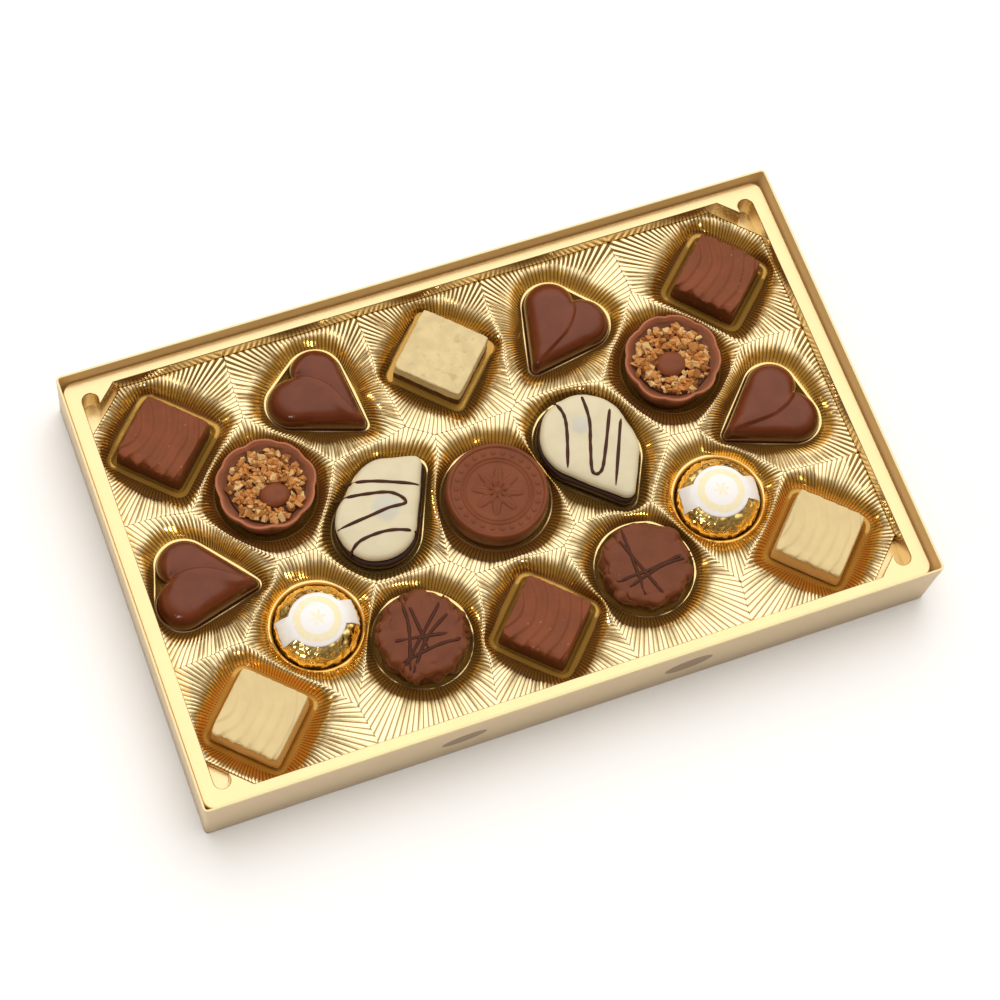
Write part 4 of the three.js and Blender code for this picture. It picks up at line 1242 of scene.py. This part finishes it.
class PRALINES_OT_medallion(PieceOperator):
    """Make the coin: a raised rim, a ring of beads, an inner ring and a rosette"""

    bl_idname = "pralines.medallion"
    bl_label = "Coin"

    EDGE = [(16, SEAT), (16.6, 8.6), (17.15, 10.2), (17.1, 13.5), (16.9, 15.8), (16.6, 16.8), (16.2, 17.2),
            (15.8, 17.3), (15.4, 17.2), (15.1, 16.9)]
    # Raised rings: radius and half width
    FACE, RINGS, RING_HEIGHT = 16.85, ((11.6, 0.42), (10.4, 0.3)), 0.42
    BEADS, BEAD_CIRCLE, BEAD_RADIUS, BEAD_HEIGHT = 26, 13.4, 0.85, 0.4
    BOSS_RADIUS, BOSS_HEIGHT = 1.3, 0.6
    # Two rings of petals: how many, their middle, half length, half width, height and turn
    PETALS = ((8, 5.6, 3.2, 1.5, 0.5, 0), (8, 3.0, 2.0, 0.9, 0.62, 0.5))
    VEIN = (0.16, 0.12)

    def relief(self, x, y):
        """How high the face stands at a point."""
        reach, angle = math.hypot(x, y), math.atan2(y, x)
        rings = (max(0, 1 - ((reach - radius) / wide) ** 2) for radius, wide in self.RINGS)
        height = sum(self.RING_HEIGHT * ring_rise for ring_rise in rings)
        around = (angle / FULL * self.BEADS) % 1 - 0.5
        away = math.hypot(around * FULL * self.BEAD_CIRCLE / self.BEADS, reach - self.BEAD_CIRCLE)
        height += self.BEAD_HEIGHT * math.sqrt(max(0, 1 - (away / self.BEAD_RADIUS) ** 2))
        half_vein, vein_depth = self.VEIN
        for petals, middle, long, wide, tall, turn in self.PETALS:
            part = (angle / FULL * petals + turn) % 1 - 0.5
            side = math.sin(part * FULL / petals) * reach
            inside = 1 - ((reach - middle) / long) ** 2 - (side / wide) ** 2
            vein = vein_depth if abs(side) < half_vein and inside > 0 else 0
            height = max(height, tall * math.sqrt(max(0, inside)) - vein)
        boss = math.sqrt(max(0, 1 - (reach / self.BOSS_RADIUS) ** 2))
        return max(height, self.BOSS_HEIGHT * boss)

    def execute(self, context):
        settings = context.scene.praline_parts
        angles = spokes(312)
        loops = [ring(angles, reach, height) for reach, height in smooth_path(self.EDGE, 3)]
        for reach in np.linspace(14.9, 0.05, 62):
            loop = ring(angles, reach, self.FACE)
            loop[:, 2] += [self.relief(x, y) for x, y in loop[:, :2]]
            loops.append(loop)
        material = chocolate("coin_chocolate", darker(settings.milk, 0.92), 0.34)
        piece("medallion_chocolate", lofted(loops), material, "milk_chocolate", ["medallion"], "medallion")
        return {"FINISHED"}


class PRALINES_OT_foil_balls(PieceOperator):
    """Make the balls in crinkled foil and their paper labels"""

    bl_idname = "pralines.foil_balls"
    bl_label = "Foil balls"

    RADIUS, EQUATOR, RISE, DROP, CREASE_SPACING = 14.1, 9, 8.8, 7, 3.3
    LABEL_DISC, LABEL_BAND, LABEL_HALF, LABEL_GAP, PAPER, SHEET = 9.2, 4, 12.9, 0.32, 0.12, 20
    RING_INSIDE, RING_OUTSIDE, ROSETTE, PETALS, PETAL_WAVE, PRINT_FADE = 5.2, 7.9, 1.9, 6, 1.1, 0.3

    def execute(self, context):
        settings = context.scene.praline_parts
        shader = Shader("gold_foil", metallic=1.0)
        fine = shader.noise(0.9, 3)
        tone = shader.cloudy(fine, darker(settings.foil, 0.85), settings.foil)
        foil = shader.paint(base_color=tone, roughness=fine * 0.1 + 0.13, normal=shader.bump(fine, 0.05))
        for number in ("1", "2"):
            ball, label = f"foil_ball_{number}", f"foil_label_{number}"
            piece(f"{ball}_foil", self.ball(60 + int(number), settings), foil, "gold_foil", [ball], ball)
            bm = self.label(70 + int(number))
            made = piece(f"{label}_paper", bm, self.paper(number, settings), "label_paper", [label], ball)
            thicken(made, "Paper", self.PAPER, 1)
        return {"FINISHED"}

    def ball(self, seed, settings):
        """A squat ball whose foil is creased along facets, more so down its side."""
        angles = spokes(220)
        loops = []
        for part in np.linspace(-math.pi / 2 + 0.02, math.pi / 2 - 0.02, 90):
            high = self.RISE if part > 0 else self.DROP
            reach, height = self.RADIUS * math.cos(part), self.EQUATOR + high * math.sin(part)
            loop = ring(angles, reach, height)
            for point in loop:
                spot = Vector(point * (1, 1, 0.5)) / self.CREASE_SPACING + Vector((seed, 0, 0))
                near = noise.voronoi(spot)[0]
                finer = noise.voronoi(spot * 2.1)[0]
                crease = min(near[1] - near[0], 0.5) + 0.4 * min(finer[1] - finer[0], 0.5) - 0.45
                side = 0.35 + 0.65 * step_up(math.hypot(point[0], point[1]), 7, 11)
                way = Vector((point[0], point[1], (point[2] - self.EQUATOR) * 1.2)).normalized()
                point += np.array(way) * crease * settings.crinkle / MM * side
            loops.append(loop)
        return lofted(loops)

    def label(self, seed):
        """A round patch with a band to both sides, laid over the ball."""
        bm = bmesh.new()
        grid = bmesh.ops.create_grid(bm, x_segments=84, y_segments=40, size=1)["verts"]
        uv = bm.loops.layers.uv.new("label")
        flat = {}
        for vert in grid:
            x = vert.co.x * self.LABEL_HALF
            end = step_up(abs(x), 8.5, self.LABEL_HALF)
            band = self.LABEL_BAND * (1 + 0.1 * end) + 0.25 * lumps(x, vert.co.y, 0, 1.3, seed) * end
            patch = math.sqrt(max(0, self.LABEL_DISC ** 2 - x * x))
            y = vert.co.y * max(band, patch)
            ragged = 0.4 * lumps(y, 0, 0, 1.4, seed) * end
            x += ragged if x > 0 else -ragged
            reach = math.hypot(x, y)
            inside = math.sqrt(max(0, 1 - (reach / self.RADIUS) ** 2))
            crumple = 0.16 * lumps(x, y, 0, 2.2, seed) * step_up(reach, 7, 11)
            flat[vert] = (x / self.SHEET + 0.5, y / self.SHEET + 0.5)
            vert.co = Vector((x, y, self.EQUATOR + self.RISE * inside + self.LABEL_GAP + crumple))
        for face in bm.faces:
            for loop in face.loops:
                loop[uv].uv = flat[loop.vert]
        return bm

    def paper(self, number, settings):
        """White paper with a pale gold ring, a small plain rosette and painted shade on its bands where they
        bend down the ball's sides.
        """
        shader = Shader("label_" + number, specular_ior_level=0.4)
        node = shader.node("UVMap", {"uv_map": "label"})
        parts = shader.node("SeparateXYZ", None, {0: node.outputs["UV"]})
        across, along = ((Value(shader, parts.outputs[axis]) - 0.5) * self.SHEET for axis in "XY")
        reach = (across * across + along * along).math("SQRT")
        ring_mask = (reach.ramp(self.RING_INSIDE, self.RING_INSIDE + self.PRINT_FADE)
                     * reach.ramp(self.RING_OUTSIDE, self.RING_OUTSIDE - self.PRINT_FADE))
        petals = (along.math("ARCTAN2", across) * self.PETALS).math("COSINE")
        rosette = (reach - petals * self.PETAL_WAVE).ramp(self.ROSETTE, self.ROSETTE - self.PRINT_FADE)
        fibre = shader.noise(1.2, 3)
        worn = shader.noise(0.8, 3).ramp(0.3, 0.55) * 0.5 + 0.5
        tone = shader.mix((ring_mask + rosette * 0.8) * worn * 0.85, settings.paper, settings.print_gold)
        # Painted shade: past the round patch the bands darken towards a warm beige.
        side = reach.ramp(self.LABEL_DISC, self.LABEL_DISC + 1.3)
        tone = shader.mix(side * 0.35, tone, (0.80, 0.72, 0.55))
        return shader.paint(base_color=tone, roughness=fibre * 0.1 + 0.45, normal=shader.bump(fibre, 0.05))


class PRALINES_OT_stage(PieceOperator):
    """Set the floor, the lights and the camera"""

    bl_idname = "pralines.stage"
    bl_label = "Stage"

    def execute(self, context):
        settings = context.scene.praline_stage
        self.floor(settings)
        self.room(context.scene, settings)
        overhead = self.light("overhead_light", (0.25, 0.7, 1.2), 1.2, settings.overhead)
        overhead.visible_glossy = False
        self.light("front_light", (-0.75, -0.55, 0.65), 0.12, settings.front)
        self.camera(context.scene)
        context.scene.view_settings.view_transform = "Standard"
        return {"FINISHED"}

    @staticmethod
    def floor(settings):
        """A plain pale floor."""
        bm = bmesh.new()
        bmesh.ops.create_grid(bm, x_segments=1, y_segments=1, size=4)
        bmesh.ops.translate(bm, vec=(0, 0, -0.0002), verts=bm.verts)
        shader = Shader("floor", roughness=0.8)
        grain = shader.noise(0.02, 2)
        material = shader.paint(base_color=shader.mix(grain, darker(settings.floor, 0.985), settings.floor))
        made = put_mesh("floor", bm, material)

    @staticmethod
    def room(scene, settings):
        """A warm dim room with a large bright patch above, towards the back."""
        world = bpy.data.worlds.new("room")
        scene.world = world
        world.use_nodes = True
        tree = world.node_tree
        where = tree.nodes.new("ShaderNodeTexCoord")
        toward = tree.nodes.new("ShaderNodeVectorMath")
        toward.operation = "DOT_PRODUCT"
        toward.inputs[1].default_value = (0.2, 0.34, 0.92)
        tree.links.new(where.outputs["Generated"], toward.inputs[0])
        ramp = tree.nodes.new("ShaderNodeValToRGB")
        stops = ramp.color_ramp.elements
        stops[1].position = 0.8
        stops.new(0.56)
        for stop, tint in zip(stops, ((0.14, 0.11, 0.08), (0.40, 0.34, 0.26), (1.63, 1.59, 1.50))):
            stop.color = (*tint, 1)
        tree.links.new(toward.outputs["Value"], ramp.inputs["Fac"])
        background = tree.nodes["Background"]
        tree.links.new(ramp.outputs["Color"], background.inputs["Color"])
        background.inputs["Strength"].default_value = settings.sky

    @staticmethod
    def light(name, place, size, power):
        """A square soft light that faces the middle of the floor."""
        data = bpy.data.lights.new(name, "AREA")
        data.size, data.energy = size, power
        made = put(name, data)
        made.location = place
        made.rotation_mode = "QUATERNION"
        made.rotation_quaternion = Vector(place).to_track_quat("Z", "Y")
        return made

    @staticmethod
    def camera(scene):
        """The camera as it stood for the photograph."""
        data = bpy.data.cameras.new("camera")
        data.sensor_width, data.lens = 36, CAMERA["lens"]
        data.clip_start, data.clip_end = 0.01, 20
        made = put("camera", data)
        tilt = Matrix.Rotation(math.radians(90 - CAMERA["elevation"]), 4, "X")
        heading, roll = (Matrix.Rotation(math.radians(CAMERA[name]), 4, "Z") for name in ("heading", "roll"))
        place = Matrix.Translation(Vector(CAMERA["place"]) * MM)
        made.matrix_world = place @ heading @ tilt @ roll
        scene.camera = made


STEPS = (
    PRALINES_OT_carton, PRALINES_OT_insert, PRALINES_OT_ridged_squares, PRALINES_OT_layered_square,
    PRALINES_OT_hearts, PRALINES_OT_nut_cups, PRALINES_OT_cookies, PRALINES_OT_rough_rounds,
    PRALINES_OT_medallion, PRALINES_OT_foil_balls, PRALINES_OT_stage,
)


class PRALINES_PT_panel(bpy.types.Panel):
    """The sizes, the colours and the steps in the 3D view's sidebar."""

    bl_label = "Box of pralines"
    bl_idname = "PRALINES_PT_panel"
    bl_space_type = "VIEW_3D"
    bl_region_type = "UI"
    bl_category = "Pralines"

    def draw(self, context):
        for group in (context.scene.praline_pack, context.scene.praline_parts, context.scene.praline_stage):
            box = self.layout.box()
            for name in group.__annotations__:
                box.prop(group, name)
        for step in STEPS:
            self.layout.operator(step.bl_idname)


GROUPS = {"praline_pack": PackSettings, "praline_parts": PralineSettings, "praline_stage": StageSettings}


def register():
    for item in (*GROUPS.values(), *STEPS, PRALINES_PT_panel):
        bpy.utils.register_class(item)
    for name, group in GROUPS.items():
        setattr(bpy.types.Scene, name, bpy.props.PointerProperty(type=group))


def unregister():
    for name in GROUPS:
        delattr(bpy.types.Scene, name)
    for item in (PRALINES_PT_panel, *STEPS[::-1], *GROUPS.values()):
        bpy.utils.unregister_class(item)


def main():
    register()
    for step in STEPS:
        getattr(bpy.ops.pralines, step.bl_idname.split(".")[1])()


if __name__ == "__main__":
    main()
